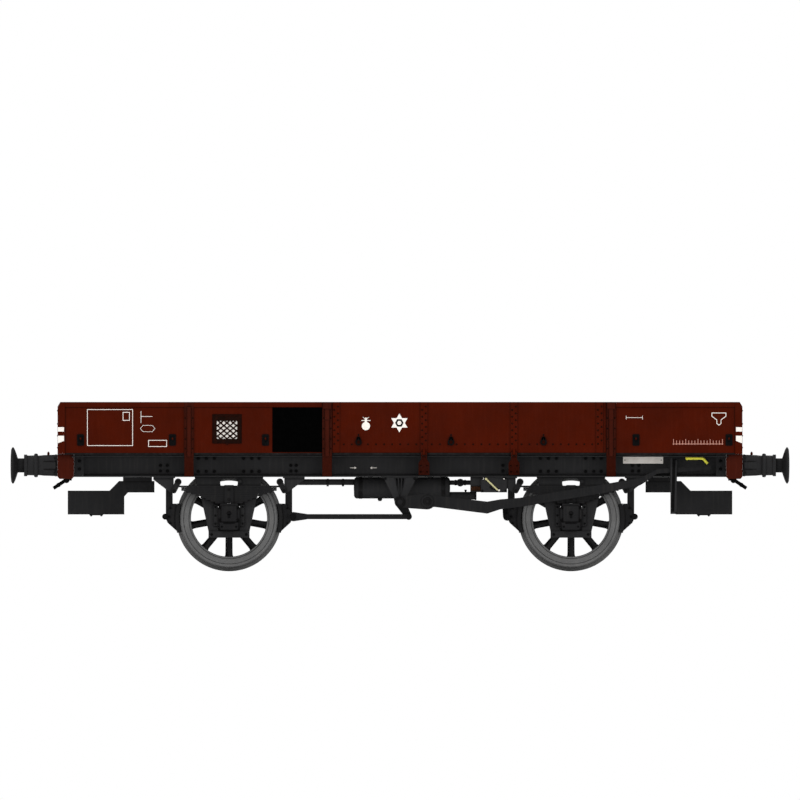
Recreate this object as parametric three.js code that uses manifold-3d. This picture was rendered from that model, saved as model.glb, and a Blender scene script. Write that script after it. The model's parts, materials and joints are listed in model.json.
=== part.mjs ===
// Low flat wagon on two axles, with low sides, one drop door in each side, spoked
// wheels on leaf springs and a lever hand brake.
//
// Units are millimetres. X runs along the wagon, Z is up, and the wheel flanges stand
// on z = 0. The near side is y < 0 and the far side is y > 0. The left end is x < 0.
import * as THREE from "three";
import { mergeVertices } from "three/addons/utils/BufferGeometryUtils.js";
import Module from "manifold-3d";

const wasm = await Module();
wasm.setup();

// ---------------------------------------------------------------- driving sizes

const seat = 0.3;                     // gap left where two pieces touch
const swing = 6;                      // running clearance round a moving panel
const bite = 2;                       // depth to which joined shapes run into each other
const plate = 14;                     // thickness of brackets and rolled sections

// Wheelsets. Radii, and distances inwards from a wheel's outer face.
const wheelBase = 3750;
const backToBack = 1360;              // between the inner faces of the two wheels
const tyre = {
  tread: 541, flange: 36, width: 135, bore: 417, ring: 22, inset: 12,
  edge: 17, cone: 7, shoulder: 10, flangeRoot: 37, flangeTip: 21,
};
const hub = { radius: 150, nose: 128, front: 12, back: 10, taper: 30 };
const spokes = { count: 9, phase: -2, root: 34, tip: 25, flatness: 1.35, sink: 13 };
const axleBar = { seat: 84, middle: 76, journal: 55, collar: 35, step: 16, taper: 40, sink: 20 };
const wheelFace = backToBack / 2 + tyre.width;
const axleHeight = tyre.tread + tyre.flange;

// Heights.
const frameRise = 457;                // from the axle up to the solebars
const solebarHeight = 252;
const floorThickness = 40;
const sideHeight = 570;               // above the solebars
const frameBottom = axleHeight + frameRise;
const frameTop = frameBottom + solebarHeight;
const floorBottom = frameTop + seat;
const floorTop = floorBottom + floorThickness;
const sideTop = frameTop + sideHeight;

// Distances from the centre line, across the wagon.
const wheelRoom = 135;                // from a wheel's outer face to the solebar's web
const solebarDepth = 95;
const springSet = 50;                 // from the solebar's web out to the springs' middle
const leverRoom = 95;                 // from the solebar's edge out to the hand lever
const sideOuter = 1360;
const sideThickness = 45;
const headstockInset = 60;
const solebarWeb = wheelFace + wheelRoom;
const solebarEdge = solebarWeb + solebarDepth;
const springPlane = solebarWeb + springSet;
const sideInner = sideOuter - sideThickness;
const headstockHalf = sideOuter - headstockInset;

// Distances along the wagon.
const headstockOuter = 3755;          // outer face of the end beam
const headstockDepth = 180;
const headstockInner = headstockOuter - headstockDepth;
const cornerDepth = 82;               // of the posts that stand outside the end boards
const endPostInner = headstockOuter - cornerDepth;

// ---------------------------------------------------------------- colours

const paint = {
  side: { color: 0x431306, roughness: 0.6, metalness: 0.0 },
  post: { color: 0x4d1708, roughness: 0.6, metalness: 0.0 },
  frame: { color: 0x262626, roughness: 0.65, metalness: 0.1 },
  iron: { color: 0x202020, roughness: 0.6, metalness: 0.3 },
  wheel: { color: 0x5a5a5a, roughness: 0.45, metalness: 0.7 },
  planks: { color: 0x4a3a2c, roughness: 0.9, metalness: 0.0 },
};

// ---------------------------------------------------------------- solids

// A closed manifold solid from a three.js geometry, faces turned outwards.
function toSolid(geometry) {
  const bare = new THREE.BufferGeometry();
  bare.setAttribute("position", geometry.getAttribute("position").clone());
  bare.setIndex(geometry.index);
  const merged = mergeVertices(bare, 1e-3);
  const at = merged.getAttribute("position").array;
  const triangles = [];
  let volume = 0;
  for (let i = 0; i < merged.index.count; i += 3) {
    const [a, b, c] = [0, 1, 2].map((k) => merged.index.array[i + k]);
    if (a === b || b === c || c === a) continue;
    triangles.push(a, b, c);
    const [p, q, r] = [a, b, c].map((k) => new THREE.Vector3().fromArray(at, 3 * k));
    volume += p.dot(q.cross(r));
  }
  if (volume < 0) triangles.reverse();
  return new wasm.Manifold(new wasm.Mesh({
    numProp: 3,
    vertProperties: Float32Array.from(at),
    triVerts: Uint32Array.from(triangles),
  }));
}

function toGeometry(manifold) {
  const mesh = manifold.getMesh();
  const geometry = new THREE.BufferGeometry();
  geometry.setAttribute("position", new THREE.BufferAttribute(mesh.vertProperties, 3));
  geometry.setIndex(new THREE.BufferAttribute(mesh.triVerts, 1));
  return geometry;
}

function join(...geometries) {
  const solids = geometries.flat().map(toSolid);
  return toGeometry(solids.reduce((whole, next) => whole.add(next)));
}

function cut(geometry, ...tools) {
  const solids = tools.flat().map(toSolid);
  return toGeometry(solids.reduce((whole, next) => whole.subtract(next), toSolid(geometry)));
}

function common(geometry, other) {
  return toGeometry(toSolid(geometry).intersect(toSolid(other)));
}

function block(x0, x1, y0, y1, z0, z1) {
  const geometry = new THREE.BoxGeometry(Math.abs(x1 - x0), Math.abs(y1 - y0), Math.abs(z1 - z0));
  return geometry.translate((x0 + x1) / 2, (y0 + y1) / 2, (z0 + z1) / 2);
}

function polygon(points) {
  return new THREE.Shape(points.map(([u, v]) => new THREE.Vector2(u, v)));
}

// The same outline on both sides of u = 0, from the points of its right half.
function mirrored(half) {
  return polygon([...half, ...half.slice().reverse().map(([u, v]) => [-u, v])]);
}

function extrude(shape, depth, curveSegments = 3) {
  return new THREE.ExtrudeGeometry(shape, { depth, bevelEnabled: false, curveSegments });
}

// An outline in x and z, given thickness along y.
function plateXZ(shape, y0, y1, curveSegments) {
  const geometry = extrude(shape, Math.abs(y1 - y0), curveSegments).rotateX(Math.PI / 2);
  return geometry.translate(0, Math.max(y0, y1), 0);
}

// An outline in y and z, given thickness along x.
function plateYZ(shape, x0, x1, curveSegments) {
  const turn = new THREE.Matrix4().makeBasis(
    new THREE.Vector3(0, 1, 0), new THREE.Vector3(0, 0, 1), new THREE.Vector3(1, 0, 0));
  const geometry = extrude(shape, Math.abs(x1 - x0), curveSegments).applyMatrix4(turn);
  return geometry.translate(Math.min(x0, x1), 0, 0);
}

// An outline in x and y, given height.
function plateXY(shape, z0, z1, curveSegments) {
  return extrude(shape, z1 - z0, curveSegments).translate(0, 0, z0);
}

// Outline round two circles and their outer tangents: a lever, a link or a strap.
function link(ax, ay, aRadius, bx, by, bRadius) {
  const along = Math.atan2(by - ay, bx - ax);
  const spread = Math.acos((aRadius - bRadius) / Math.hypot(bx - ax, by - ay));
  const shape = new THREE.Shape();
  shape.absarc(ax, ay, aRadius, along + spread, along - spread + 2 * Math.PI, false);
  shape.absarc(bx, by, bRadius, along - spread, along + spread, false);
  return shape;
}

// A round bar between two points. Pins and their bores use it alike, so their flats line up.
function bar(from, to, radius, sides = 10) {
  const start = new THREE.Vector3(...from);
  const span = new THREE.Vector3(...to).sub(start);
  const geometry = new THREE.CylinderGeometry(radius, radius, span.length(), sides);
  geometry.translate(0, span.length() / 2, 0);
  const turn = new THREE.Quaternion()
    .setFromUnitVectors(new THREE.Vector3(0, 1, 0), span.clone().normalize());
  return geometry.applyQuaternion(turn).translate(start.x, start.y, start.z);
}

function crossBar(x, z, y0, y1, radius, sides) {
  return bar([x, Math.min(y0, y1), z], [x, Math.max(y0, y1), z], radius, sides);
}

// Radius of a bore round a bar with as many sides that never turns in it.
function fixedBore(radius, sides) {
  return radius + seat / Math.cos(Math.PI / sides);
}

// Radius of a bore whose flats clear a bar that turns in it.
function turningBore(radius, sides) {
  return (radius + seat) / Math.cos(Math.PI / sides);
}

// A closed profile of [radius, distance along y] turned round the y axis.
function revolve(profile, sides) {
  const points = [...profile, profile[0]].map(([r, y]) => new THREE.Vector2(r, y));
  return new THREE.LatheGeometry(points, sides);
}

// A profile of [radius, distance along x] that starts and ends on the x axis or closes.
function alongX(profile, sides) {
  return revolve(profile, sides).rotateZ(-Math.PI / 2);
}

// ---------------------------------------------------------------- assembly helpers

const wagon = new THREE.Group();
wagon.name = "flat_wagon";

function addGroup(parent, { x = 0, y = 0, z = 0, turn = 0 }) {
  const group = new THREE.Group();
  group.position.set(x, y, z);
  group.rotation.z = turn;
  parent.add(group);
  return group;
}

function addPiece(parent, name, geometry, look) {
  const bare = geometry.index ? geometry.toNonIndexed() : geometry;
  bare.computeVertexNormals();
  const mesh = new THREE.Mesh(bare, new THREE.MeshStandardMaterial(look));
  mesh.name = name;
  parent.add(mesh);
  return mesh;
}

// Both sides and both ends of the body are alike after half a turn about z.
const halfTurns = [
  { side: "near", end: "right", turn: 0 },
  { side: "far", end: "left", turn: Math.PI },
];

const axles = [
  { end: "left", x: -wheelBase / 2 },
  { end: "right", x: wheelBase / 2 },
];

// ---------------------------------------------------------------- body sides

// Posts of one side, seen from outside: centre and width along x.
const posts = [
  { x: -2314, width: 102, latch: false },
  { x: -799, width: 106, latch: true },
  { x: 2315, width: 102, latch: true },
];
const postRib = { width: 50, proud: 40, slope: 6 };
const postProud = 12;
const latch = { top: 4, middle: 76, bottom: 195, inset: 8, proud: 12, keeper: 6 };
const topRail = { height: 56, proud: 10 };
const curb = { above: 11, below: 6 };          // timber strip that the side stands on
const panelBottom = frameTop + curb.above + seat;

const doorStraps = [-700, 263, 1250, 2190];
const doorHinges = [263, 1250];
const strap = { width: 80, proud: 8 };
const doorLift = 3;                            // gap below a closed door

const hingePin = { out: 32, up: 4, radius: 9, over: 4 };
const hingeEye = { radius: 17, width: 30, side: 2, root: 10, rise: 40 };
const hingeLug = { root: 14, inset: 6, drop: 8 };
const hingeFoot = { width: 120, top: 98, bottom: 22 };
const hingeNeck = { width: 66, shoulder: 56 };
const pin = { y: sideOuter + hingePin.out, z: frameTop + hingePin.up };

const ropeHooks = [-3503, -2495, -1475, 2588, 3608];
const hook = { below: 416, width: 70, height: 120, thickness: 8, reach: 38, half: 9, lip: 14 };
const doorRings = [-455, 559, 1574];
const ring = {
  below: 416, eye: 14, bow: 34, hole: 20, length: 50, thickness: 10, stand: 8, staple: 12,
};
const labelFrame = { x: -1897, width: 306, below: 142, height: 306, border: 34, proud: 12 };
const noticeBoard = { x0: -1398, x1: -856, below: 61, bottom: 22, proud: 4 };

function postEdges(post) {
  return [post.x - post.width / 2, post.x + post.width / 2];
}

// Hook for a rope: a plate with a bent tongue.
function hookGeometry(x) {
  const z = sideTop - hook.below;
  const face = -sideOuter - hook.thickness;
  const tongue = polygon([
    [face + bite, z - hook.half],
    [face - hook.reach + hook.lip, z - hook.half],
    [face - hook.reach, z + hook.half],
    [face - hook.reach, z + 3 * hook.half],
    [face - hook.reach + hook.lip, z + 3 * hook.half],
    [face - hook.reach + 2 * hook.lip, z + hook.half],
    [face + bite, z + hook.half],
  ]);
  return [
    block(x - hook.width / 2, x + hook.width / 2, face, -sideOuter + bite,
      z - hook.height / 2, z + hook.height / 2),
    plateYZ(tongue, x - hook.half, x + hook.half),
  ];
}

// Pear-shaped lashing ring in a staple, hanging flat on the door.
function ringGeometry(x) {
  const top = sideTop - ring.below + ring.length / 2;
  const back = -sideOuter - ring.stand;
  const outline = link(x, top, ring.eye, x, top - ring.length, ring.bow);
  const hole = new THREE.Path();
  hole.absarc(x, top - ring.length, ring.hole, 0, 2 * Math.PI, true);
  outline.holes.push(hole);
  return [
    plateXZ(outline, back - ring.thickness, back, 4),
    block(x - ring.staple / 2, x + ring.staple / 2, back - ring.thickness - ring.stand / 2,
      -sideOuter + bite, top - ring.staple / 2, top + ring.staple / 2),
  ];
}

function labelFrameGeometry() {
  const { x, width, below, height, border, proud } = labelFrame;
  const x0 = x - width / 2;
  const top = sideTop - below;
  const frame = block(x0, x0 + width, -sideOuter - proud, -sideOuter + bite, top - height, top);
  const window = block(x0 + border, x0 + width - border, -sideOuter - 2 * proud, -sideOuter,
    top - height + border, top - border);
  return cut(frame, window);
}

// Side panel with a thickened top rail, and what is fixed on it between its ends.
function panelGeometry(x0, x1) {
  const inside = (x) => x > x0 && x < x1;
  const pieces = [
    block(x0, x1, -sideOuter, -sideInner, panelBottom, sideTop),
    block(x0, x1, -sideOuter - topRail.proud, -sideInner - bite, sideTop - topRail.height, sideTop),
    ...ropeHooks.filter(inside).flatMap(hookGeometry),
  ];
  if (inside(labelFrame.x)) {
    pieces.push(labelFrameGeometry());
  }
  if (inside(noticeBoard.x0)) {
    pieces.push(block(noticeBoard.x0, Math.min(noticeBoard.x1, x1), -sideOuter - noticeBoard.proud,
      -sideOuter + bite, frameTop + noticeBoard.bottom, sideTop - noticeBoard.below));
  }
  return join(pieces);
}

// Sloped bracket below the floor: carries a post or a hinge from the solebar.
const bracket = { drop: 24 };
const bracketTop = frameTop - bracket.drop;

function bracketFlange(x0, x1, bottom) {
  const outer = sideOuter + postProud;
  const inner = solebarEdge + seat;
  return plateYZ(polygon([
    [-outer, bracketTop + plate],
    [-outer, bracketTop],
    [-inner - plate, bottom],
    [-inner, bottom],
    [-inner, bottom + plate],
    [-outer + plate, bracketTop + plate],
  ]), x0, x1);
}

function bracketWeb(x, bottom) {
  const outer = sideOuter + postProud - bite;
  const inner = solebarEdge + seat;
  return plateYZ(polygon([
    [-inner, frameTop],
    [-outer, frameTop],
    [-outer, bracketTop],
    [-inner, bottom + bite],
  ]), x - plate / 2, x + plate / 2);
}

function postGeometry(post) {
  const [x0, x1] = postEdges(post);
  const ribLeft = post.x - postRib.width / 2;
  const ribRight = post.x + postRib.width / 2;
  const section = polygon([
    [x0, -sideInner],
    [x0, -sideOuter - postProud],
    [ribLeft, -sideOuter - postProud],
    [ribLeft + postRib.slope, -sideOuter - postRib.proud],
    [ribRight - postRib.slope, -sideOuter - postRib.proud],
    [ribRight, -sideOuter - postProud],
    [x1, -sideOuter - postProud],
    [x1, -sideInner],
  ]);
  const top = post.latch ? sideTop : sideTop - topRail.height + bite;
  const pieces = [
    plateXY(section, bracketTop, top),
    bracketFlange(x0, x1, frameBottom),
    bracketWeb(post.x, frameBottom),
  ];
  if (post.latch) {
    const face = -sideOuter - postRib.proud;
    pieces.push(
      block(x0 + latch.inset, x1 - latch.inset, face - latch.proud, face + bite,
        sideTop - latch.middle, sideTop - latch.top),
      block(ribLeft, ribRight, face - latch.keeper, face + bite,
        sideTop - latch.bottom, sideTop - latch.middle + bite));
  } else {
    pieces.push(block(x0, x1, -sideOuter - topRail.proud, -sideInner,
      sideTop - topRail.height, sideTop));
  }
  return pieces;
}

// Hinge bracket: a foot that narrows to a neck, with two lugs and the hinge pin.
function hingeBracketGeometry(x) {
  const footHalf = hingeFoot.width / 2;
  const neckHalf = hingeNeck.width / 2;
  const bottom = frameBottom + hingeFoot.bottom;
  const front = plateXZ(polygon([
    [x - footHalf, bottom],
    [x + footHalf, bottom],
    [x + footHalf, frameTop - hingeFoot.top],
    [x + neckHalf, frameTop - hingeNeck.shoulder],
    [x + neckHalf, bracketTop],
    [x - neckHalf, bracketTop],
    [x - neckHalf, frameTop - hingeNeck.shoulder],
    [x - footHalf, frameTop - hingeFoot.top],
  ]), -sideOuter - 2 * postRib.proud, -solebarEdge);
  const flange = common(bracketFlange(x - footHalf, x + footHalf, bottom), front);
  const lug = link(-pin.y, pin.z, hingeEye.radius,
    -sideOuter + hingeLug.inset, bracketTop - hingeLug.drop, hingeLug.root);
  const inside = hingeEye.width / 2 + hingeEye.side;
  return [
    flange,
    bracketWeb(x, bottom),
    plateYZ(lug, x - neckHalf, x - inside, 2),
    plateYZ(lug, x + inside, x + neckHalf, 2),
    bar([x - neckHalf - hingePin.over, -pin.y, pin.z], [x + neckHalf + hingePin.over, -pin.y, pin.z],
      hingePin.radius, 8),
  ];
}

function sideFrameGeometry() {
  const strip = block(-endPostInner + seat, endPostInner - seat,
    -sideOuter + swing, -sideInner, frameTop - curb.below, frameTop + curb.above);
  return join(strip, posts.flatMap(postGeometry), doorHinges.flatMap(hingeBracketGeometry));
}

function doorGeometry() {
  const left = postEdges(posts[1])[1] + swing;
  const right = postEdges(posts[2])[0] - swing;
  const bottom = panelBottom + doorLift;
  const eyeHalf = hingeEye.width / 2;
  const pieces = [block(left, right, -sideOuter, -sideInner, bottom, sideTop)];
  for (const x of doorStraps) {
    pieces.push(block(Math.max(x - strap.width / 2, left), Math.min(x + strap.width / 2, right),
      -sideOuter - strap.proud, -sideOuter + bite, bottom, sideTop));
  }
  const knuckle = link(-pin.y, pin.z, hingeEye.radius,
    -sideOuter - strap.proud + hingeEye.root, bottom + hingeEye.rise, hingeEye.root);
  for (const x of doorHinges) {
    pieces.push(plateYZ(knuckle, x - eyeHalf, x + eyeHalf, 2));
  }
  const bore = turningBore(hingePin.radius, 8);
  const bores = doorHinges.map((x) => bar([x - strap.width, -pin.y, pin.z],
    [x + strap.width, -pin.y, pin.z], bore, 8));
  return cut(join(pieces, doorRings.flatMap(ringGeometry)), bores);
}

function addSide({ side, turn }) {
  const group = addGroup(wagon, { turn });
  const ends = [-endPostInner, ...posts.flatMap(postEdges), endPostInner];
  const fixedPanels = [[ends[0], ends[1]], [ends[2], ends[3]], [ends[6], ends[7]]];
  fixedPanels.forEach(([x0, x1], index) => {
    addPiece(group, `side_panel_${side}_${index + 1}`, panelGeometry(x0 + seat, x1 - seat),
      paint.side);
  });
  addPiece(group, `side_frame_${side}`, sideFrameGeometry(), paint.post);
  addPiece(group, `drop_door_${side}`, doorGeometry(), paint.side);
  addPiece(group, `solebar_${side}`, solebarGeometry(side), paint.frame);
}

// ---------------------------------------------------------------- spring and axle guard

// Leaf spring seen from outside, about its axle. Heights are below the solebar.
const spring = {
  drop: 94, width: 90, leaves: 10, full: 3, longest: 520, step: 53, seatRise: 166,
  buckle: 52, buckleOver: 6, buckleOut: 6, buckleIn: 4,
};
const springEye = { out: 38, up: 40, radius: 38, pin: 14, lap: 30 };
const shackle = { out: 45, down: 98, top: 30, foot: 28, front: 9, back: 5 };
const springTop = frameBottom - spring.drop;
const boxTop = axleHeight + spring.seatRise;
const eye = { x: spring.longest + springEye.out, z: springTop + springEye.up };
const hangerPin = { x: eye.x + shackle.out, z: eye.z - shackle.down };

// Gusset under the solebar that holds the lower shackle pin.
const gusset = {
  thickness: 30, length: 227, edge: 29, toe: 37, boss: 30, bossSides: 8,
  footHalf: 40, footBack: 13, inset: 3, above: 38, below: 22, heel: 12,
};

function springHangerGeometry(axleX, way) {
  const x = (distance) => axleX + way * (hangerPin.x + distance);
  const half = gusset.thickness / 2;
  const web = plateXZ(polygon([
    [x(gusset.inset), frameBottom + bite],
    [x(gusset.length), frameBottom + bite],
    [x(gusset.length), frameBottom - gusset.edge],
    [x(gusset.toe), hangerPin.z - gusset.below],
    [x(-gusset.inset), hangerPin.z - gusset.heel],
    [x(gusset.inset), hangerPin.z + gusset.above],
  ]), -springPlane - half, -springPlane + half);
  const boss = crossBar(x(0), hangerPin.z, -springPlane - spring.width / 2,
    -springPlane + spring.width / 2, gusset.boss, gusset.bossSides);
  const foot = block(x(-gusset.footBack), x(gusset.length), -springPlane - gusset.footHalf,
    -springPlane + gusset.footHalf, frameBottom - plate, frameBottom + bite);
  return [web, boss, foot];
}

function springGeometry() {
  const thickness = (springTop - boxTop - seat) / spring.leaves;
  const half = [];
  for (let i = 0; i < spring.leaves; i += 1) {
    const reach = spring.longest - Math.max(0, i + 1 - spring.full) * spring.step;
    const top = springTop - i * thickness;
    half.push([reach, top], [reach, top - thickness]);
  }
  const y0 = -springPlane - spring.width / 2;
  const y1 = -springPlane + spring.width / 2;
  const pieces = [
    plateXZ(mirrored(half), y0, y1),
    block(-spring.buckle, spring.buckle, y0 - spring.buckleOut, y1 + spring.buckleIn,
      boxTop + seat, springTop + spring.buckleOver),
  ];
  for (const way of [-1, 1]) {
    const swingLink = link(way * eye.x, eye.z, shackle.top, way * hangerPin.x, hangerPin.z,
      shackle.foot);
    const curl = link(way * eye.x, eye.z, springEye.radius,
      way * (spring.longest - springEye.lap), springTop - thickness / 2, thickness / 2);
    pieces.push(
      plateXZ(curl, y0, y1),
      plateXZ(swingLink, y0 - seat - shackle.front, y0 - seat, 2),
      plateXZ(swingLink, y1 + seat, y1 + seat + shackle.back, 2),
      crossBar(way * eye.x, eye.z, y0 - shackle.front - bite, y1 + shackle.back, springEye.pin, 8));
  }
  return join(pieces);
}

// Axle guard: the plate that guides an axle box, seen from outside and about its axle.
const guard = {
  thickness: 18, topHalf: 378, waistHalf: 310, waist: 249, footHalf: 225, foot: 140, overlap: 222,
  windowHalf: 95, windowSill: 13, windowHead: 12, windowCorner: 30,
  cheekHalf: 170, cheekTop: 154, cheekBottom: 81, cheekOut: 18,
  tieTop: 137, tieBottom: 209, tieOut: 12, slotOver: 3,
};
const stop = { x: 120, radius: 22, out: 30, drop: 49 };
const box = {
  half: 117.5, bottom: 130, round: 57, corner: 25, chamfer: 43, front: 95, back: 55,
  coverHalf: 85, coverBottom: 32, coverTop: 138, coverOut: 14,
  lidHalf: 95, lidFlare: 10, lidBottom: 122, lidTop: 42, lidOut: 22,
  lugX: 100, lugLow: 17, lugHigh: 123, lugRadius: 16, lugOut: 16,
};

function guardGeometry() {
  const outer = -(solebarWeb - seat);
  const inner = outer + guard.thickness;
  const through = guard.thickness * 2;
  const sheet = plateXZ(mirrored([
    [guard.topHalf, frameBottom + guard.overlap],
    [guard.topHalf, frameBottom],
    [guard.waistHalf, axleHeight + guard.waist],
    [guard.footHalf, axleHeight - guard.foot],
  ]), outer, inner);
  const slotHalf = box.half + seat;
  const slot = block(-slotHalf, slotHalf, outer - through, inner + through,
    axleHeight - guard.tieBottom, boxTop + guard.slotOver);
  const sill = springTop - guard.windowSill;
  const head = frameBottom - guard.windowHead;
  const opening = plateXZ(mirrored([
    [guard.windowHalf, sill],
    [guard.windowHalf, head - guard.windowCorner],
    [guard.windowHalf - guard.windowCorner, head],
  ]), outer - through, inner + through);
  const cheeks = [-1, 1].map((way) => block(way * slotHalf, way * guard.cheekHalf,
    outer - guard.cheekOut, outer + bite, axleHeight - guard.cheekBottom,
    axleHeight + guard.cheekTop));
  const tie = block(-guard.footHalf, guard.footHalf, outer - guard.tieOut, inner + guard.tieOut,
    axleHeight - guard.tieBottom, axleHeight - guard.tieTop);
  const bump = crossBar(stop.x, frameBottom - stop.drop, outer - stop.out, inner, stop.radius, 10);
  return join(cut(sheet, slot, opening), cheeks, tie, bump);
}

function axleBoxGeometry() {
  const back = -wheelFace - box.back;
  const front = -springPlane - box.front;
  const bottom = axleHeight - box.bottom;
  const shape = new THREE.Shape();
  shape.moveTo(-box.half, bottom + box.round);
  shape.quadraticCurveTo(-box.half, bottom, -box.half + box.round, bottom);
  shape.lineTo(box.half - box.round, bottom);
  shape.quadraticCurveTo(box.half, bottom, box.half, bottom + box.round);
  shape.lineTo(box.half, boxTop - box.chamfer);
  shape.lineTo(box.half - box.corner, boxTop);
  shape.lineTo(-box.half + box.corner, boxTop);
  shape.lineTo(-box.half, boxTop - box.chamfer);
  const cover = block(-box.coverHalf, box.coverHalf, front - box.coverOut, front + bite,
    axleHeight - box.coverBottom, axleHeight + box.coverTop);
  const lid = plateXZ(mirrored([
    [box.lidHalf, axleHeight - box.lidBottom],
    [box.lidHalf + box.lidFlare, axleHeight - box.lidTop],
  ]), front - box.lidOut, front + bite);
  const lugs = [];
  for (const x of [-box.lugX, box.lugX]) {
    for (const z of [axleHeight - box.lugLow, axleHeight + box.lugHigh]) {
      lugs.push(crossBar(x, z, front - box.lugOut, front + bite, box.lugRadius, 6));
    }
  }
  const bore = revolve([
    [0, back + bite], [turningBore(axleBar.journal, 24), back + bite],
    [turningBore(axleBar.journal, 24), -journalEnd - seat], [0, -journalEnd - seat],
  ], 24).translate(0, 0, axleHeight);
  return cut(join(plateXZ(shape, front, back, 3), cover, lid, lugs), bore);
}

// ---------------------------------------------------------------- wheels and axle

const journalEnd = springPlane + box.front - 2 * plate + 8;

function wheelGeometry() {
  const { tread, flange, width, bore, edge, inset } = tyre;
  const rim = revolve([
    [bore, inset], [bore + tyre.ring, inset], [bore + tyre.ring, 0], [tread - edge, 0],
    [tread - tyre.cone, tyre.shoulder], [tread, width - tyre.flangeRoot],
    [tread + flange, width - tyre.flangeTip], [tread, width], [bore, width],
  ], 24);
  const hubBore = fixedBore(axleBar.seat, 24);
  const boss = revolve([
    [hubBore, -hub.front], [hub.nose, -hub.front], [hub.radius, hub.taper],
    [hub.radius, width + hub.back], [hubBore, width + hub.back],
  ], 24);
  const start = hub.radius - hub.taper;
  const end = bore + spokes.sink;
  const arms = [];
  for (let i = 0; i < spokes.count; i += 1) {
    const angle = (spokes.phase + i * 360 / spokes.count) * Math.PI / 180;
    const arm = new THREE.CylinderGeometry(spokes.root, spokes.tip, end - start, 6);
    arm.scale(1, 1, spokes.flatness).translate(0, -(start + end) / 2, 0);
    arm.rotateX(Math.PI / 2).rotateY(angle);
    arms.push(arm.translate(0, width / 2, 0));
  }
  return join(rim, boss, arms).translate(0, -wheelFace, 0);
}

function axleGeometry() {
  const inner = backToBack / 2 - axleBar.sink;
  const outer = wheelFace + axleBar.collar;
  const half = [
    [0, journalEnd], [axleBar.journal, journalEnd], [axleBar.journal, outer + axleBar.step],
    [axleBar.seat, outer], [axleBar.seat, inner], [axleBar.middle, inner - axleBar.taper],
  ];
  const other = half.slice().reverse().map(([r, y]) => [r, -y]);
  const profile = [...half, ...other].map(([r, y]) => new THREE.Vector2(r, y));
  return join(new THREE.LatheGeometry(profile, 24));
}

function addAxle({ end, x }) {
  const place = addGroup(wagon, { x });
  const wheelset = addGroup(place, { z: axleHeight });
  addPiece(wheelset, `axle_${end}`, axleGeometry(), paint.iron);
  for (const { side, turn } of halfTurns) {
    addPiece(addGroup(wheelset, { turn }), `wheel_${end}_${side}`, wheelGeometry(), paint.wheel);
    const group = addGroup(place, { turn });
    addPiece(group, `w_iron_${end}_${side}`, guardGeometry(), paint.frame);
    addPiece(group, `leaf_spring_${end}_${side}`, springGeometry(), paint.iron);
    addPiece(group, `axle_box_${end}_${side}`, axleBoxGeometry(), paint.iron);
  }
}

// ---------------------------------------------------------------- underframe

const channelFlange = { tip: plate, root: 26 };
const jointPlate = { length: 110, thickness: 10 };
const centreBeam = { y: 260, width: 80 };
const crossbar = { width: 70, lift: 40, inner: 330, outer: 700 };
const endFrameStart = wheelBase / 2 + crossbar.outer - crossbar.width / 2;
const plank = { width: 220, gap: 8, groove: 10, minimum: 1 };

// Brakes that hang from the frame, about an axle. Shoes reach from the tread outwards.
const shoe = { gap: 6, thickness: 43, half: 38, set: 80, up: 0.29, down: 0.27 };
const brakePin = { out: 159, up: 22, radius: 24 };
const hanger = { out: 114, drop: 34, radius: 38, half: 10, lugBack: 25, lugFront: 60, lugHalf: 20 };
const brake = {
  x: tyre.tread + brakePin.out, z: axleHeight + brakePin.up,
  hangerX: tyre.tread + hanger.out, hangerZ: frameBottom - hanger.drop,
  plane: backToBack / 2 + shoe.set,
};

// Hand-brake shaft, across the wagon at x = 0.
const shaft = { drop: 276, radius: 30, sides: 16 };
const shaftHeight = frameBottom - shaft.drop;
const shaftBracket = {
  outerTop: 186, innerTop: 66, innerFoot: 2, outerFoot: 70, rise: 40, setBack: 8, footHalf: 200,
  footDepth: 80, boss: 60, bossOver: 12, ribPitch: 36, ribHalf: 6, ribTaper: 0.5, ribInset: 3,
};

function solebarGeometry(side) {
  const end = headstockInner - seat;
  const channel = plateYZ(polygon([
    [-solebarWeb, frameBottom],
    [-solebarEdge, frameBottom],
    [-solebarEdge, frameBottom + channelFlange.tip],
    [-solebarWeb - plate, frameBottom + channelFlange.root],
    [-solebarWeb - plate, frameTop - channelFlange.root],
    [-solebarEdge, frameTop - channelFlange.tip],
    [-solebarEdge, frameTop],
    [-solebarWeb, frameTop],
  ]), -end, end);
  const pieces = [channel];
  for (const way of [-1, 1]) {
    pieces.push(block(way * (end - jointPlate.length), way * end,
      -solebarEdge - jointPlate.thickness + bite, -solebarEdge + bite, frameBottom, frameTop));
    for (const { x } of axles) {
      pieces.push(...springHangerGeometry(x, way));
    }
  }
  pieces.push(...shaftBracketGeometry());
  if (side === "near") {
    pieces.push(...leverGuideGeometry(), ...changeoverGeometry());
  }
  const bore = crossBar(0, shaftHeight, -solebarEdge - solebarDepth, -solebarWeb + solebarDepth,
    fixedBore(shaft.radius, shaft.sides), shaft.sides);
  return cut(join(pieces), bore);
}

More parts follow.
